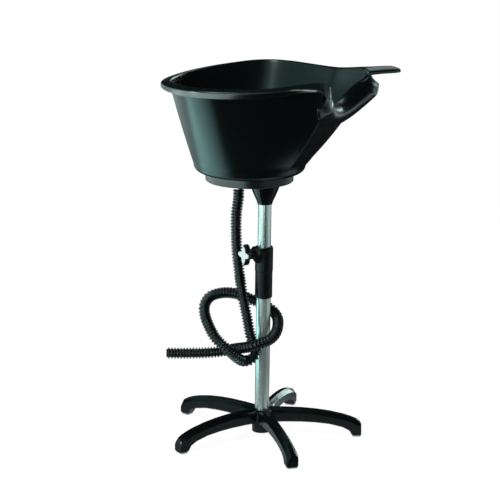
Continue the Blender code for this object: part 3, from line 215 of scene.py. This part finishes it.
def make_hose():
    x, y, z = HOSE_TOP
    route = smooth_curve([HOSE_TOP, (x, y, z - HOSE_STRAIGHT)] + HOSE_ROUTE, ROUTE_STEP)
    count = round(length_of(route) / HOSE_PITCH) * RIB_RINGS + 1
    line = even_points(route, count) + np.array(MAST)
    places = np.linspace(0, length_of(line), count)
    pairs = frames_along(line)
    valleys = range(RIB_RINGS // 2, count, RIB_RINGS)
    split = next(i for i in valleys if line[i][2] < HOSE_SPLIT)
    upper = hose_piece("hose_upper", line, pairs, places, 0, split)
    lower = hose_piece("hose_lower", line, pairs, places, split, count - 1)
    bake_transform(upper)
    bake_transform(lower)
    for piece, points, end in ((upper, line[: split + 1], "object"), (lower, line[split:], "bare")):
        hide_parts("drain_hose")
    return [upper, lower]


hoses = make_hose()

# ---- Bowl, by the stations of the frame's bowl, with more columns and a slightly tucked-in lip

BASIN_TURN = math.radians(-24.4)
BOWL_WALL = 0.0035
FLOOR_TOP = BOWL_WALL
RIM_BACK = 0.212
RIM_LENGTH = 0.402
RIM_HALF_WIDTH = 0.231
RIM_HEIGHT = 0.235
RIM_SWEEP = 0.016
NECK_HALF_WIDTH = 0.126
NECK_DEPTH = 0.0603
NECK_FRONT = 0.209
NECK_SETBACK = 0.038
EAR_REACH = 0.250
EAR_HALF_WIDTH = 0.219
ROLL_DEPTH = 0.116
ROLL_BULGE = 0.022
FLANGE_WIDTH = 0.022
FLANGE_DROP = 0.0055
LIP_HEIGHT = 0.0155
LIP_FOLD = 0.3
LIP_EDGE = 0.0006
LIP_TUCK = 0.36
CREST_ROUND = 0.018
EDGE_ROUND = 0.004
WALL_BULGE = 0.015
FLOOR_OFFSET = 0.041
FLOOR_RADIUS = 0.1005
CORNER_RADIUS = 0.1230
WALL_FOOT_RADIUS = 0.1295
CORNER_RISE = 0.0095
WALL_FOOT_RISE = 0.0225
FLOOR_FALL = 0.004
DRAIN_OFFSET = 0.0686
DRAIN_HOLE_RADIUS = 0.0215
DRAIN_SEAT_RADIUS = 0.0315
DRAIN_SEAT_BEVEL = 0.0015
DRAIN_SEAT_DEPTH = 0.003
DRAIN_SEAT = FLOOR_TOP - FLOOR_FALL - DRAIN_SEAT_DEPTH
FOOT_RING_RADIUS = 0.1046
FOOT_RING_WALL = 0.004
FOOT_RING_HEIGHT = 0.0185
FOOT_RING_EMBED = 0.0019
MOUNT_PAD_RADIUS = 0.0315
MOUNT_PAD_DEPTH = 0.005
SCREW_BOSS_RADIUS = 0.0065
SCREW_BOSS_HEIGHT = 0.009
LUG_DISTANCE = 0.046
LUG_COUNT = 4
FLOOR_EMBED = 0.0007
SIDE_CREST_SHARES = [
    (0.0, 0.0, -0.625), (0.007, 0.195, -0.594), (0.025, 0.381, -0.562), (0.062, 0.554, -0.469),
    (0.129, 0.723, -0.281), (0.216, 0.883, -0.062), (0.313, 0.983, 0.0), (0.428, 0.991, 0.0),
    (0.54, 0.935, 0.0), (0.647, 0.861, 0.031), (0.746, 0.766, 0.156), (0.833, 0.662, 0.406),
    (0.908, 0.593, 0.688), (0.97, 0.55, 0.906),
]
NECK_CREST_SHARES = [
    (0.421, 0.976, 0.038), (0.132, 0.952, 0.104), (0.0, 0.921, 0.196), (0.079, 0.857, 0.262),
    (0.263, 0.77, 0.312), (0.526, 0.667, 0.42), (0.737, 0.548, 0.577), (0.895, 0.413, 0.743),
    (0.974, 0.262, 0.876), (1.0, 0.123, 0.967), (1.0, 0.0, 1.0),
]
FRONT_EDGE_SHARES = [
    (0.812, 0.826, 0.063), (0.928, 0.973, 0.054), (1.0, 1.0, 0.141), (0.852, 0.612, 0.141),
    (0.852, 0.795, 0.373), (0.844, 0.836, 0.459), (0.836, 0.799, 0.615), (0.8, 0.685, 0.744),
    (0.768, 0.548, 0.852), (0.748, 0.402, 0.929), (0.736, 0.201, 0.981), (0.728, 0.0, 1.0),
]
FLANGE_WIDTH_SHARES = [1, 1, 1, 1, 1, 1, 1, 1, 1, 1, 1.1, 1.25, 1.7]
LIP_SHARES = [
    0.3, 0.36, 0.48, 0.62, 0.77, 0.9, 1, 1, 1, 1, 0.94, 0.76, 0.53, 0.36,
    0.25, 0.2, 0.2, 0.2, 0.2, 0.2, 0.2, 0.2, 0.2, 0.2, 0.2,
]
LIP_UPRIGHT_SHARES = [
    1, 1, 1, 1, 1, 1, 1, 1, 1, 1, 1, 1, 0.9, 0.65,
    0.4, 0.3, 0.2, 0.2, 0.2, 0.2, 0.2, 0.2, 0.2, 0.2, 0.2,
]
BULGE_SHARES = [
    0.02, 0.02, 0.02, 0.02, 0.02, 0.02, 0.02, 0.02, 0.02, 0.02, 0.02, 0.02, 0.03, 0.05,
    0.05, 0.05, 0.0, 0.15, 0.6, 0.9, 1.0, 1.0, 0.93, 0.85, 0.8,
]
CREST_ROUND_SHARES = [
    0.3, 0.3, 0.3, 0.3, 0.3, 0.3, 0.3, 0.3, 0.3, 0.3, 0.3, 0.3, 0.3, 0.3,
    0.3, 0.3, 0.35, 0.55, 0.8, 1.0, 1.0, 1.0, 1.0, 1.0, 1.0,
]
LIP_TUCK_SHARES = [
    0, 0, 0, 0, 0, 0, 0, 0, 0, 0.5, 1, 1, 0.4, 0,
    0, 0, 0, 0, 0, 0, 0, 0, 0, 0, 0,
]
WALL_BULGE_SHARES = [
    0.2, 0.2, 0.2, 0.2, 0.2, 0.2, 0.2, 0.2, 0.2, 0.25, 0.4, 0.6, 0.8, 1.0,
    1.0, 1.0, 1.0, 1.0, 1.0, 1.0, 1.0, 1.0, 1.0, 1.0, 1.0,
]
COLUMNS_PER_STATION = 7
CORNER_SHARES = np.linspace(0, 1, 8)[:-1]
WALL_SHARES = np.linspace(0, 1, 12)[:-1]
CREST_BEND_SHARES = np.linspace(0, 1, 10)
FLANGE_SHARES = np.linspace(0, 1, 9)[1:-1]
EDGE_BEND_SHARES = np.linspace(0, 1, 8)
LATHE_STEPS = 96
SMALL_BEVEL = 0.0012
BOWL_SHARP_ANGLE = math.radians(40)
SCREW_HOLE_SHARE = 1 / 3


def side_stations():
    """Crest and outer edge of the rim from the middle of its back to the root of the ear."""
    crests = [
        Vector((
            along * RIM_LENGTH - RIM_BACK,
            across * RIM_HALF_WIDTH,
            RIM_HEIGHT + rise * RIM_SWEEP,
        ))
        for along, across, rise in SIDE_CREST_SHARES
    ]
    edges = []
    for index, width in enumerate(FLANGE_WIDTH_SHARES):
        before = crests[index - 1] if index else crests[1] * Vector((1, -1, 1))
        tangent = crests[index + 1] - before
        outward = Vector((-tangent.y, tangent.x, 0)).normalized()
        fall = Vector((0, 0, FLANGE_DROP))
        edges.append(crests[index] + outward * FLANGE_WIDTH * width - fall)
    return crests, edges


def rim_stations():
    """Half the rim, from its back to its neck.

    Each row holds the crest, the edge, the lip's height, the flange's bulge, the crest's rounding, the wall's
    bulge, how upright the lip is and how far it tucks in.
    """
    crests, edges = side_stations()
    ear_top = RIM_HEIGHT + RIM_SWEEP
    for setback, across, fall in NECK_CREST_SHARES:
        crests.append(Vector((
            NECK_FRONT - setback * NECK_SETBACK,
            across * NECK_HALF_WIDTH,
            ear_top - fall * NECK_DEPTH,
        )))
    for along, across, fall in FRONT_EDGE_SHARES:
        edges.append(Vector((
            along * EAR_REACH,
            across * EAR_HALF_WIDTH,
            ear_top - fall * ROLL_DEPTH,
        )))
    rows = []
    for index, (crest, edge) in enumerate(zip(crests, edges)):
        rows.append([
            *crest, *edge,
            LIP_SHARES[index] * LIP_HEIGHT,
            BULGE_SHARES[index] * ROLL_BULGE,
            CREST_ROUND_SHARES[index] * CREST_ROUND,
            WALL_BULGE_SHARES[index] * WALL_BULGE,
            LIP_UPRIGHT_SHARES[index],
            LIP_TUCK_SHARES[index] * LIP_TUCK,
        ])
    return np.array(rows)


def rim_columns():
    """The whole rim, mirrored about the basin's middle plane, with several columns a station."""
    half = rim_stations()
    flip = np.ones(half.shape[1])
    flip[[1, 4]] = -1
    whole = np.vstack([half, (half * flip)[-2:0:-1]])
    count = len(whole)
    columns = []
    for index in range(count):
        a, b, c, d = (whole[(index + step) % count] for step in (-1, 0, 1, 2))
        for share in np.arange(COLUMNS_PER_STATION) / COLUMNS_PER_STATION:
            last = 3 * (b - c) + d - a
            middle = 2 * a - 5 * b + 4 * c - d
            columns.append(b + 0.5 * share * (c - a + share * (middle + share * last)))
    return np.array(columns)


def bend(start, corner, end, share):
    """A point on the round that replaces a corner."""
    return start * (1 - share) ** 2 + corner * 2 * share * (1 - share) + end * share**2


def arch(start, end, lift, share):
    """A point on the low arch that this lift raises over a line, and its direction there."""
    point = start.lerp(end, share) + lift * 4 * share * (1 - share)
    return point, end - start + lift * 4 * (1 - 2 * share)


def corner_of(start, along, end, back):
    """Where two directions come nearest to each other, as the corner that a bend then rounds."""
    along, back, gap = along.normalized(), back.normalized(), end - start
    cosine = along.dot(back)
    reach = (gap.dot(along) - gap.dot(back) * cosine) / (1 - cosine**2)
    other = (gap.dot(along) * cosine - gap.dot(back)) / (1 - cosine**2)
    return (start + along * reach + end + back * other) / 2


def column_section(row, tangent):
    """One column of the basin's inner face, from the drain hole up the wall and over the rim."""
    crest, edge = Vector(row[0:3]), Vector(row[3:6])
    lip, bulge, crest_round, wall_bulge, upright, tuck = row[6:12]
    angle = math.atan2(crest.y, crest.x + FLOOR_OFFSET)
    radial = Vector((math.cos(angle), math.sin(angle), 0))
    drain = Vector((-DRAIN_OFFSET, 0, 0))
    middle = Vector((-FLOOR_OFFSET, 0, 0))
    up = Vector((0, 0, 1))
    seat_floor = FLOOR_TOP - FLOOR_FALL
    points = [
        drain + radial * DRAIN_HOLE_RADIUS + up * DRAIN_SEAT,
        drain + radial * DRAIN_SEAT_RADIUS + up * DRAIN_SEAT,
        drain + radial * (DRAIN_SEAT_RADIUS + DRAIN_SEAT_BEVEL) + up * seat_floor,
    ]
    inside = middle + radial * FLOOR_RADIUS + up * FLOOR_TOP
    foot = middle + radial * WALL_FOOT_RADIUS + up * WALL_FOOT_RISE
    corner = (middle + radial * CORNER_RADIUS + up * CORNER_RISE) * 2 - (inside + foot) / 2
    points += [bend(inside, corner, foot, share) for share in CORNER_SHARES]
    swell, chord = radial * wall_bulge, edge - crest
    face = chord.cross(tangent).normalized()
    wall_end = 1 - crest_round / (crest - foot).length
    flange_start = crest_round / chord.length
    flange_end = 1 - EDGE_ROUND / chord.length
    points += [arch(foot, crest, swell, share * wall_end)[0] for share in WALL_SHARES]
    below, rise = arch(foot, crest, swell, wall_end)
    over, run = arch(crest, edge, face * bulge, flange_start)
    corner = corner_of(below, rise, over, run)
    points += [bend(below, corner, over, share) for share in CREST_BEND_SHARES]
    for share in FLANGE_SHARES:
        place_on_flange = flange_start + share * (flange_end - flange_start)
        points.append(arch(crest, edge, face * bulge, place_on_flange)[0])
    last, run = arch(crest, edge, face * bulge, flange_end)
    outward = Vector((chord.x, chord.y, 0)).normalized()
    folded = (chord.normalized() * LIP_FOLD - face) * (1 - upright)
    lip_way = (folded - up * upright - outward * tuck).normalized()
    turned_under = edge + lip_way * EDGE_ROUND
    corner = corner_of(last, run, turned_under, lip_way)
    points += [bend(last, corner, turned_under, share) for share in EDGE_BEND_SHARES]
    lip_length = max(lip - EDGE_ROUND, EDGE_ROUND / 2)
    points += [turned_under + lip_way * length for length in (lip_length - LIP_EDGE, lip_length)]
    return points


def mesh_piece(name, bm):
    data = bpy.data.meshes.new(name)
    bm.to_mesh(data)
    bm.free()
    data.shade_smooth()
    data.set_sharp_from_angle(angle=BOWL_SHARP_ANGLE)
    made = bpy.data.objects.new(name, data)
    scene.collection.objects.link(made)
    return made


def basin_place():
    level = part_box("basin_bowl")[0][2] + FOOT_RING_HEIGHT
    return Matrix.Translation((MAST.x, MAST.y, level)) @ Matrix.Rotation(BASIN_TURN, 4, "Z")


def bowl_shell():
    """One moulded wall from the drain hole to the turned-under lip."""
    rows = rim_columns()
    count = len(rows)
    bm = bmesh.new()
    columns = []
    for index, row in enumerate(rows):
        tangent = Vector(rows[index - 1][0:3] - rows[(index + 1) % count][0:3])
        columns.append([bm.verts.new(point) for point in column_section(row, tangent)])
    for index, column in enumerate(columns):
        after = columns[(index + 1) % count]
        for low_point in range(len(column) - 1):
            bm.faces.new(
                (column[low_point], after[low_point], after[low_point + 1], column[low_point + 1])
            )
    shell = mesh_piece("bowl_shell", bm)
    wall = shell.modifiers.new("wall", "SOLIDIFY")
    wall.thickness = BOWL_WALL
    wall.offset = -1
    return shell


def lathe(bm, x, y, profile):
    """A closed profile of radius and height pairs, turned about an upright axis."""
    rings = []
    for radius, height in profile:
        angles = [step * math.tau / LATHE_STEPS for step in range(LATHE_STEPS)]
        rings.append([
            bm.verts.new((x + radius * math.cos(angle), y + radius * math.sin(angle), height))
            for angle in angles
        ])
    for ring, after in zip(rings, rings[1:] + rings[:1]):
        for step in range(LATHE_STEPS):
            beside = (step + 1) % LATHE_STEPS
            bm.faces.new((ring[step], ring[beside], after[beside], after[step]))


def tube_profile(outer, inner, bottom, top):
    bevel = SMALL_BEVEL
    return [
        (outer, top), (outer, bottom + bevel), (outer - bevel, bottom), (inner + bevel, bottom),
        (inner, bottom + bevel), (inner, top),
    ]


def bowl_foot():
    """Under the bowl: its foot ring, the socket's pad and the bosses for the socket's screws."""
    bm = bmesh.new()
    ring_bore = FOOT_RING_RADIUS - FOOT_RING_WALL
    ring = tube_profile(FOOT_RING_RADIUS, ring_bore, -FOOT_RING_HEIGHT, FOOT_RING_EMBED)
    lathe(bm, -FLOOR_OFFSET, 0, ring)
    lathe(bm, 0, 0, tube_profile(MOUNT_PAD_RADIUS, SMALL_BEVEL, -MOUNT_PAD_DEPTH, -FLOOR_EMBED))
    screw_hole = SCREW_BOSS_RADIUS * SCREW_HOLE_SHARE
    boss = tube_profile(SCREW_BOSS_RADIUS, screw_hole, -SCREW_BOSS_HEIGHT, -FLOOR_EMBED)
    for index in range(LUG_COUNT):
        angle = (index + 0.5) * math.tau / LUG_COUNT
        lathe(bm, LUG_DISTANCE * math.cos(angle), LUG_DISTANCE * math.sin(angle), boss)
    bmesh.ops.recalc_face_normals(bm, faces=bm.faces[:])
    return mesh_piece("bowl_foot", bm)


def make_bowl():
    made = [bowl_shell(), bowl_foot()]
    for piece in made:
        piece.data.transform(basin_place())
        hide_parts("basin_bowl")
        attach(piece, "basin")
    return made


bowl = make_bowl()

# ---- Finishes

CLOUD_SCALE = 14
CLOUD_DETAIL = 5
CLOUD_LOW = 0.3
CLOUD_HIGH = 0.7
GRAIN_SCALE = 900
COARSE_GRAIN_SCALE = 300
GRAIN_DETAIL = 3
GRAIN_DEPTH = 0.0002
BOWL_BLACK = (0.0018, 0.0032, 0.0032)
PART_BLACK = (0.0022, 0.0034, 0.0034)
CHROME = (0.62, 0.69, 0.67)
ALONG_TUBE = (1, 1, 0.05)


def finish(
    name, colour, roughness, metallic=0.0, grain=0.0, grain_scale=GRAIN_SCALE, sway=0.0,
    stretch=(1, 1, 1), gloss=0.5,
):
    """A finish whose roughness varies a little and whose surface has a fine relief."""
    made = bpy.data.materials.new(name)
    made.use_nodes = True
    nodes, links = made.node_tree.nodes, made.node_tree.links
    shader = nodes["Principled BSDF"]
    shader.inputs["Base Color"].default_value = (*colour, 1)
    shader.inputs["Roughness"].default_value = roughness
    shader.inputs["Metallic"].default_value = metallic
    shader.inputs["Specular IOR Level"].default_value = gloss
    place = nodes.new("ShaderNodeTexCoord")
    mapping = nodes.new("ShaderNodeMapping")
    mapping.inputs["Scale"].default_value = stretch
    links.new(place.outputs["Object"], mapping.inputs["Vector"])
    if sway:
        cloud = nodes.new("ShaderNodeTexNoise")
        cloud.inputs["Scale"].default_value = CLOUD_SCALE
        cloud.inputs["Detail"].default_value = CLOUD_DETAIL
        links.new(mapping.outputs["Vector"], cloud.inputs["Vector"])
        span = nodes.new("ShaderNodeMapRange")
        span.inputs["From Min"].default_value = CLOUD_LOW
        span.inputs["From Max"].default_value = CLOUD_HIGH
        span.inputs["To Min"].default_value = roughness - sway
        span.inputs["To Max"].default_value = roughness + sway
        links.new(cloud.outputs["Fac"], span.inputs["Value"])
        links.new(span.outputs["Result"], shader.inputs["Roughness"])
    if grain:
        noise = nodes.new("ShaderNodeTexNoise")
        noise.inputs["Scale"].default_value = grain_scale
        noise.inputs["Detail"].default_value = GRAIN_DETAIL
        links.new(mapping.outputs["Vector"], noise.inputs["Vector"])
        relief = nodes.new("ShaderNodeBump")
        relief.inputs["Strength"].default_value = grain
        relief.inputs["Distance"].default_value = GRAIN_DEPTH
        links.new(noise.outputs["Fac"], relief.inputs["Height"])
        links.new(relief.outputs["Normal"], shader.inputs["Normal"])
    return made


FINISHES = {
    "black_plastic": finish("bowl_plastic", BOWL_BLACK, 0.25, grain=0.02, sway=0.02),
    "base_gloss": finish(
        "base_plastic", PART_BLACK, 0.20, grain=0.03, grain_scale=COARSE_GRAIN_SCALE, sway=0.02, gloss=0.3
    ),
    "tube_chrome": finish("tube_chrome", CHROME, 0.20, 0.9, sway=0.01, stretch=ALONG_TUBE),
    "steel": finish("bright_steel", (0.58, 0.58, 0.58), 0.30, 1.0, grain=0.08, sway=0.05),
    "brass": finish("turned_brass", (0.70, 0.52, 0.24), 0.30, 1.0, grain=0.08, sway=0.05),
    "hose_plastic": finish("hose_plastic", PART_BLACK, 0.24, grain=0.03, sway=0.04),
    "knob_face": finish("knob_face", (0.72, 0.75, 0.73), 0.25, grain=0.04, sway=0.04),
    "glide": finish("glide_pale", (0.62, 0.64, 0.62), 0.45, grain=0.15, sway=0.05),
    "nylon": finish("nylon_white", (0.70, 0.70, 0.66), 0.45, grain=0.10, sway=0.05),
    "seal": finish("seal_rubber", (0.02, 0.02, 0.02), 0.70, grain=0.30, sway=0.08),
}
CLAMP_BLACK = finish("sleeve_plastic", PART_BLACK, 0.30, grain=0.03, sway=0.03, gloss=0.25)
DULL_CHROME = finish("lower_tube_chrome", CHROME, 0.24, 0.72, sway=0.01, stretch=ALONG_TUBE)
NODE_FINISHES = {
    "clamp_sleeve": CLAMP_BLACK, "clamp_knob": CLAMP_BLACK, "lower_tube": DULL_CHROME,
}


def paint(obj, surface):
    obj.data.materials.clear()
    obj.data.materials.append(surface)


for part in frame["record"]["subparts"]:
    slot_finish = FINISHES[part["material_slot"]]
    paint(frame["nodes"][part["node"]], NODE_FINISHES.get(part["node"], slot_finish))
for piece in hoses:
    paint(piece, FINISHES["hose_plastic"])
for piece in bowl:
    paint(piece, FINISHES["black_plastic"])

# ---- Studio

GREEN_GREY = (0.50, 1.0, 0.97)
PALE_GREEN = (0.76, 1.0, 0.97)
ROOM_DARK = 0.02
WORLD_LEVEL = 0.55
FLOOR_SIZE = 30
FLOOR_WHITE = (0.9, 0.9, 0.9, 1)
FLOOR_ROUGHNESS = 0.9
FLOOR_GLOW = 1.08
FLOOR_GLOW_SHARE = 0.87

# What the floor shows in reflections. Soft steps, each as start, end and the levels there:
LEFT_SIDE = (-0.4, -1.4, 0.0, 0.7)
RIGHT_SIDE = (1.2, 2.0, 0.0, 0.8)
RIGHT_SIDE_END = (3.6, 2.4)
PAST_OBJECT = (0.8, 1.8)
FAR_LEFT = (-0.6, -1.4, 0.0, 6.0)
FAR_LEFT_START = (3.0, 3.8)
FAR_LEFT_BACK = (3.2, 2.2)
# and soft ovals, each as its middle, its half axes and its level:
BESIDE = (1.2, 0.1, 0.75, 0.7, 0.6)
UNDER = (0.0, 0.05, 0.62, 0.34, 0.5)
BACK_CORNER = (8.0, 10.0, 4.0, 5.0, 2.0)
LEFT_PATCH = (-1.22, 0.05, 0.92, 1.00, 2.6)

# What the room shows in reflections, each as a direction, two cosines from it and a level:
LEFT_WALL = ((-0.8, -0.6, 0.0), 0.50, 0.28, 0.45)
LOW_LEFT = ((-0.8, -0.6, 0.0), 0.65, 0.45, 5.0)
LOW_LEFT_TOP = (0.20, 0.02)
BACK_LIGHT = ((0.52, 0.85, 0.05), 0.994, 0.972, 6.0)
HIGH_LIGHT = ((0.38, 0.72, 0.58), 0.985, 0.95, 1.6)

# Name, place, aim, width, height and power:
SOFTBOXES = [
    ("key", (-0.9, -1.3, 3.3), (0, 0, 0.6), 0.8, 0.8, 40),
    ("side", (-2.4, -1.8, 1.1), (0, 0, 0.4), 0.4, 0.7, 24),
]


def maths(tree, operation, *values):
    """One maths node's output; each value is a number or another node's output."""
    node = tree.nodes.new("ShaderNodeMath")
    node.operation = operation
    for socket, value in zip(node.inputs, values):
        if isinstance(value, (int, float)):
            socket.default_value = value
        else:
            tree.links.new(value, socket)
    return node.outputs["Value"]


def ramp(tree, value, start, end, bottom=0.0, top=1.0):
    """A soft step of a value from one level to another."""
    node = tree.nodes.new("ShaderNodeMapRange")
    node.interpolation_type = "SMOOTHSTEP"
    node.inputs["From Min"].default_value = start
    node.inputs["From Max"].default_value = end
    node.inputs["To Min"].default_value = bottom
    node.inputs["To Max"].default_value = top
    tree.links.new(value, node.inputs["Value"])
    return node.outputs["Result"]


def coordinates(tree, output):
    place = tree.nodes.new("ShaderNodeTexCoord")
    split = tree.nodes.new("ShaderNodeSeparateXYZ")
    tree.links.new(place.outputs[output], split.inputs["Vector"])
    return split.outputs["X"], split.outputs["Y"], split.outputs["Z"], place.outputs[output]


def glowing(tree, kind, colour, level):
    shader = tree.nodes.new(kind)
    shader.inputs["Color"].default_value = (*colour, 1)
    tree.links.new(level, shader.inputs["Strength"])
    return shader.outputs[0]


def added(tree, first, second):
    node = tree.nodes.new("ShaderNodeAddShader")
    tree.links.new(first, node.inputs[0])
    tree.links.new(second, node.inputs[1])
    return node.outputs["Shader"]


def chosen(tree, factor, otherwise, then):
    node = tree.nodes.new("ShaderNodeMixShader")
    tree.links.new(factor, node.inputs["Fac"])
    tree.links.new(otherwise, node.inputs[1])
    tree.links.new(then, node.inputs[2])
    return node.outputs["Shader"]


def oval(tree, x, y, middle_x, middle_y, half_x, half_y, level):
    """A soft oval patch on the floor."""
    across = maths(tree, "DIVIDE", maths(tree, "SUBTRACT", x, middle_x), half_x)
    along = maths(tree, "DIVIDE", maths(tree, "SUBTRACT", y, middle_y), half_y)
    across = maths(tree, "MULTIPLY", across, across)
    along = maths(tree, "MULTIPLY", along, along)
    spread = maths(tree, "ADD", across, along)
    return ramp(tree, spread, 1.0, 0.1, 0.0, level)


def make_floor():
    """White to the camera, with the object's shadow; in reflections dark with some lit areas."""
    bm = bmesh.new()
    bmesh.ops.create_grid(bm, x_segments=1, y_segments=1, size=FLOOR_SIZE)
    data = bpy.data.meshes.new("floor")
    bm.to_mesh(data)
    bm.free()
    made = bpy.data.objects.new("floor", data)
    scene.collection.objects.link(made)
    surface = bpy.data.materials.new("floor_white")
    surface.use_nodes = True
    tree = surface.node_tree
    paper = tree.nodes["Principled BSDF"]
    paper.inputs["Base Color"].default_value = FLOOR_WHITE
    paper.inputs["Roughness"].default_value = FLOOR_ROUGHNESS
    path = tree.nodes.new("ShaderNodeLightPath")
    white = tree.nodes.new("ShaderNodeEmission")
    white.inputs["Strength"].default_value = FLOOR_GLOW
    seen = maths(tree, "MULTIPLY", path.outputs["Is Camera Ray"], FLOOR_GLOW_SHARE)
    shown = chosen(tree, seen, paper.outputs["BSDF"], white.outputs["Emission"])
    x, y, _, place = coordinates(tree, "Object")
    away = tree.nodes.new("ShaderNodeVectorMath")
    away.operation = "LENGTH"
    tree.links.new(place, away.inputs[0])
    reach = away.outputs["Value"]
    left = ramp(tree, x, *LEFT_SIDE)
    right = maths(tree, "MULTIPLY", ramp(tree, x, *RIGHT_SIDE), ramp(tree, x, *RIGHT_SIDE_END))
    far = maths(tree, "MULTIPLY", maths(tree, "MAXIMUM", left, right), ramp(tree, reach, *PAST_OBJECT))
    near = maths(tree, "MAXIMUM", far, oval(tree, x, y, *BESIDE))
    near = maths(tree, "MAXIMUM", near, oval(tree, x, y, *UNDER))
    front = maths(tree, "MULTIPLY", ramp(tree, x, *FAR_LEFT), ramp(tree, reach, *FAR_LEFT_START))
    front = maths(tree, "MULTIPLY", front, ramp(tree, y, *FAR_LEFT_BACK))
    front = maths(tree, "ADD", front, oval(tree, x, y, *BACK_CORNER))
    level = maths(tree, "ADD", maths(tree, "ADD", near, front), ROOM_DARK)
    patch = oval(tree, x, y, *LEFT_PATCH)
    mirrored = added(
        tree, glowing(tree, "ShaderNodeEmission", PALE_GREEN, level),
        glowing(tree, "ShaderNodeEmission", GREEN_GREY, patch),
    )
    shown = chosen(tree, path.outputs["Is Glossy Ray"], shown, mirrored)
    tree.links.new(shown, tree.nodes["Material Output"].inputs["Surface"])
    made.data.materials.append(surface)


def toward(tree, direction, aim, near, far, level):
    """A soft round light of this level in the room, round one direction."""
    node = tree.nodes.new("ShaderNodeVectorMath")
    node.operation = "DOT_PRODUCT"
    tree.links.new(direction, node.inputs[0])
    node.inputs[1].default_value = Vector(aim).normalized()
    return ramp(tree, node.outputs["Value"], far, near, 0.0, level)


def make_world():
    """Even light, white to the camera; in reflections a dark room with a few lights."""
    world = bpy.data.worlds.new("studio")
    scene.world = world
    world.use_nodes = True
    tree = world.node_tree
    even = tree.nodes["Background"]
    even.inputs["Color"].default_value = (1, 1, 1, 1)
    path = tree.nodes.new("ShaderNodeLightPath")
    strength = ramp(tree, path.outputs["Is Camera Ray"], 0, 1, WORLD_LEVEL, 1.0)
    tree.links.new(strength, even.inputs["Strength"])
    _, _, z, direction = coordinates(tree, "Generated")
    left = maths(tree, "ADD", toward(tree, direction, *LEFT_WALL), ROOM_DARK)
    low_left = toward(tree, direction, *LOW_LEFT)
    low_left = maths(tree, "MULTIPLY", low_left, ramp(tree, z, *LOW_LEFT_TOP))
    back = toward(tree, direction, *BACK_LIGHT)
    high_light = toward(tree, direction, *HIGH_LIGHT)
    lights = maths(tree, "ADD", low_left, maths(tree, "ADD", back, high_light))
    mirrored = added(
        tree, glowing(tree, "ShaderNodeBackground", GREEN_GREY, left),
        glowing(tree, "ShaderNodeBackground", PALE_GREEN, lights),
    )
    shown = chosen(tree, path.outputs["Is Glossy Ray"], even.outputs["Background"], mirrored)
    tree.links.new(shown, tree.nodes["World Output"].inputs["Surface"])


def softbox(name, location, target, width, height, power):
    data = bpy.data.lights.new(name, "AREA")
    data.shape = "RECTANGLE"
    data.size = width
    data.size_y = height
    data.energy = power
    data.color = PALE_GREEN
    made = bpy.data.objects.new(name, data)
    scene.collection.objects.link(made)
    made.location = Vector(location) + MAST
    aim = Vector(target) - Vector(location)
    made.rotation_euler = aim.to_track_quat("-Z", "Y").to_euler()


make_floor()
make_world()
for box in SOFTBOXES:
    softbox(*box)
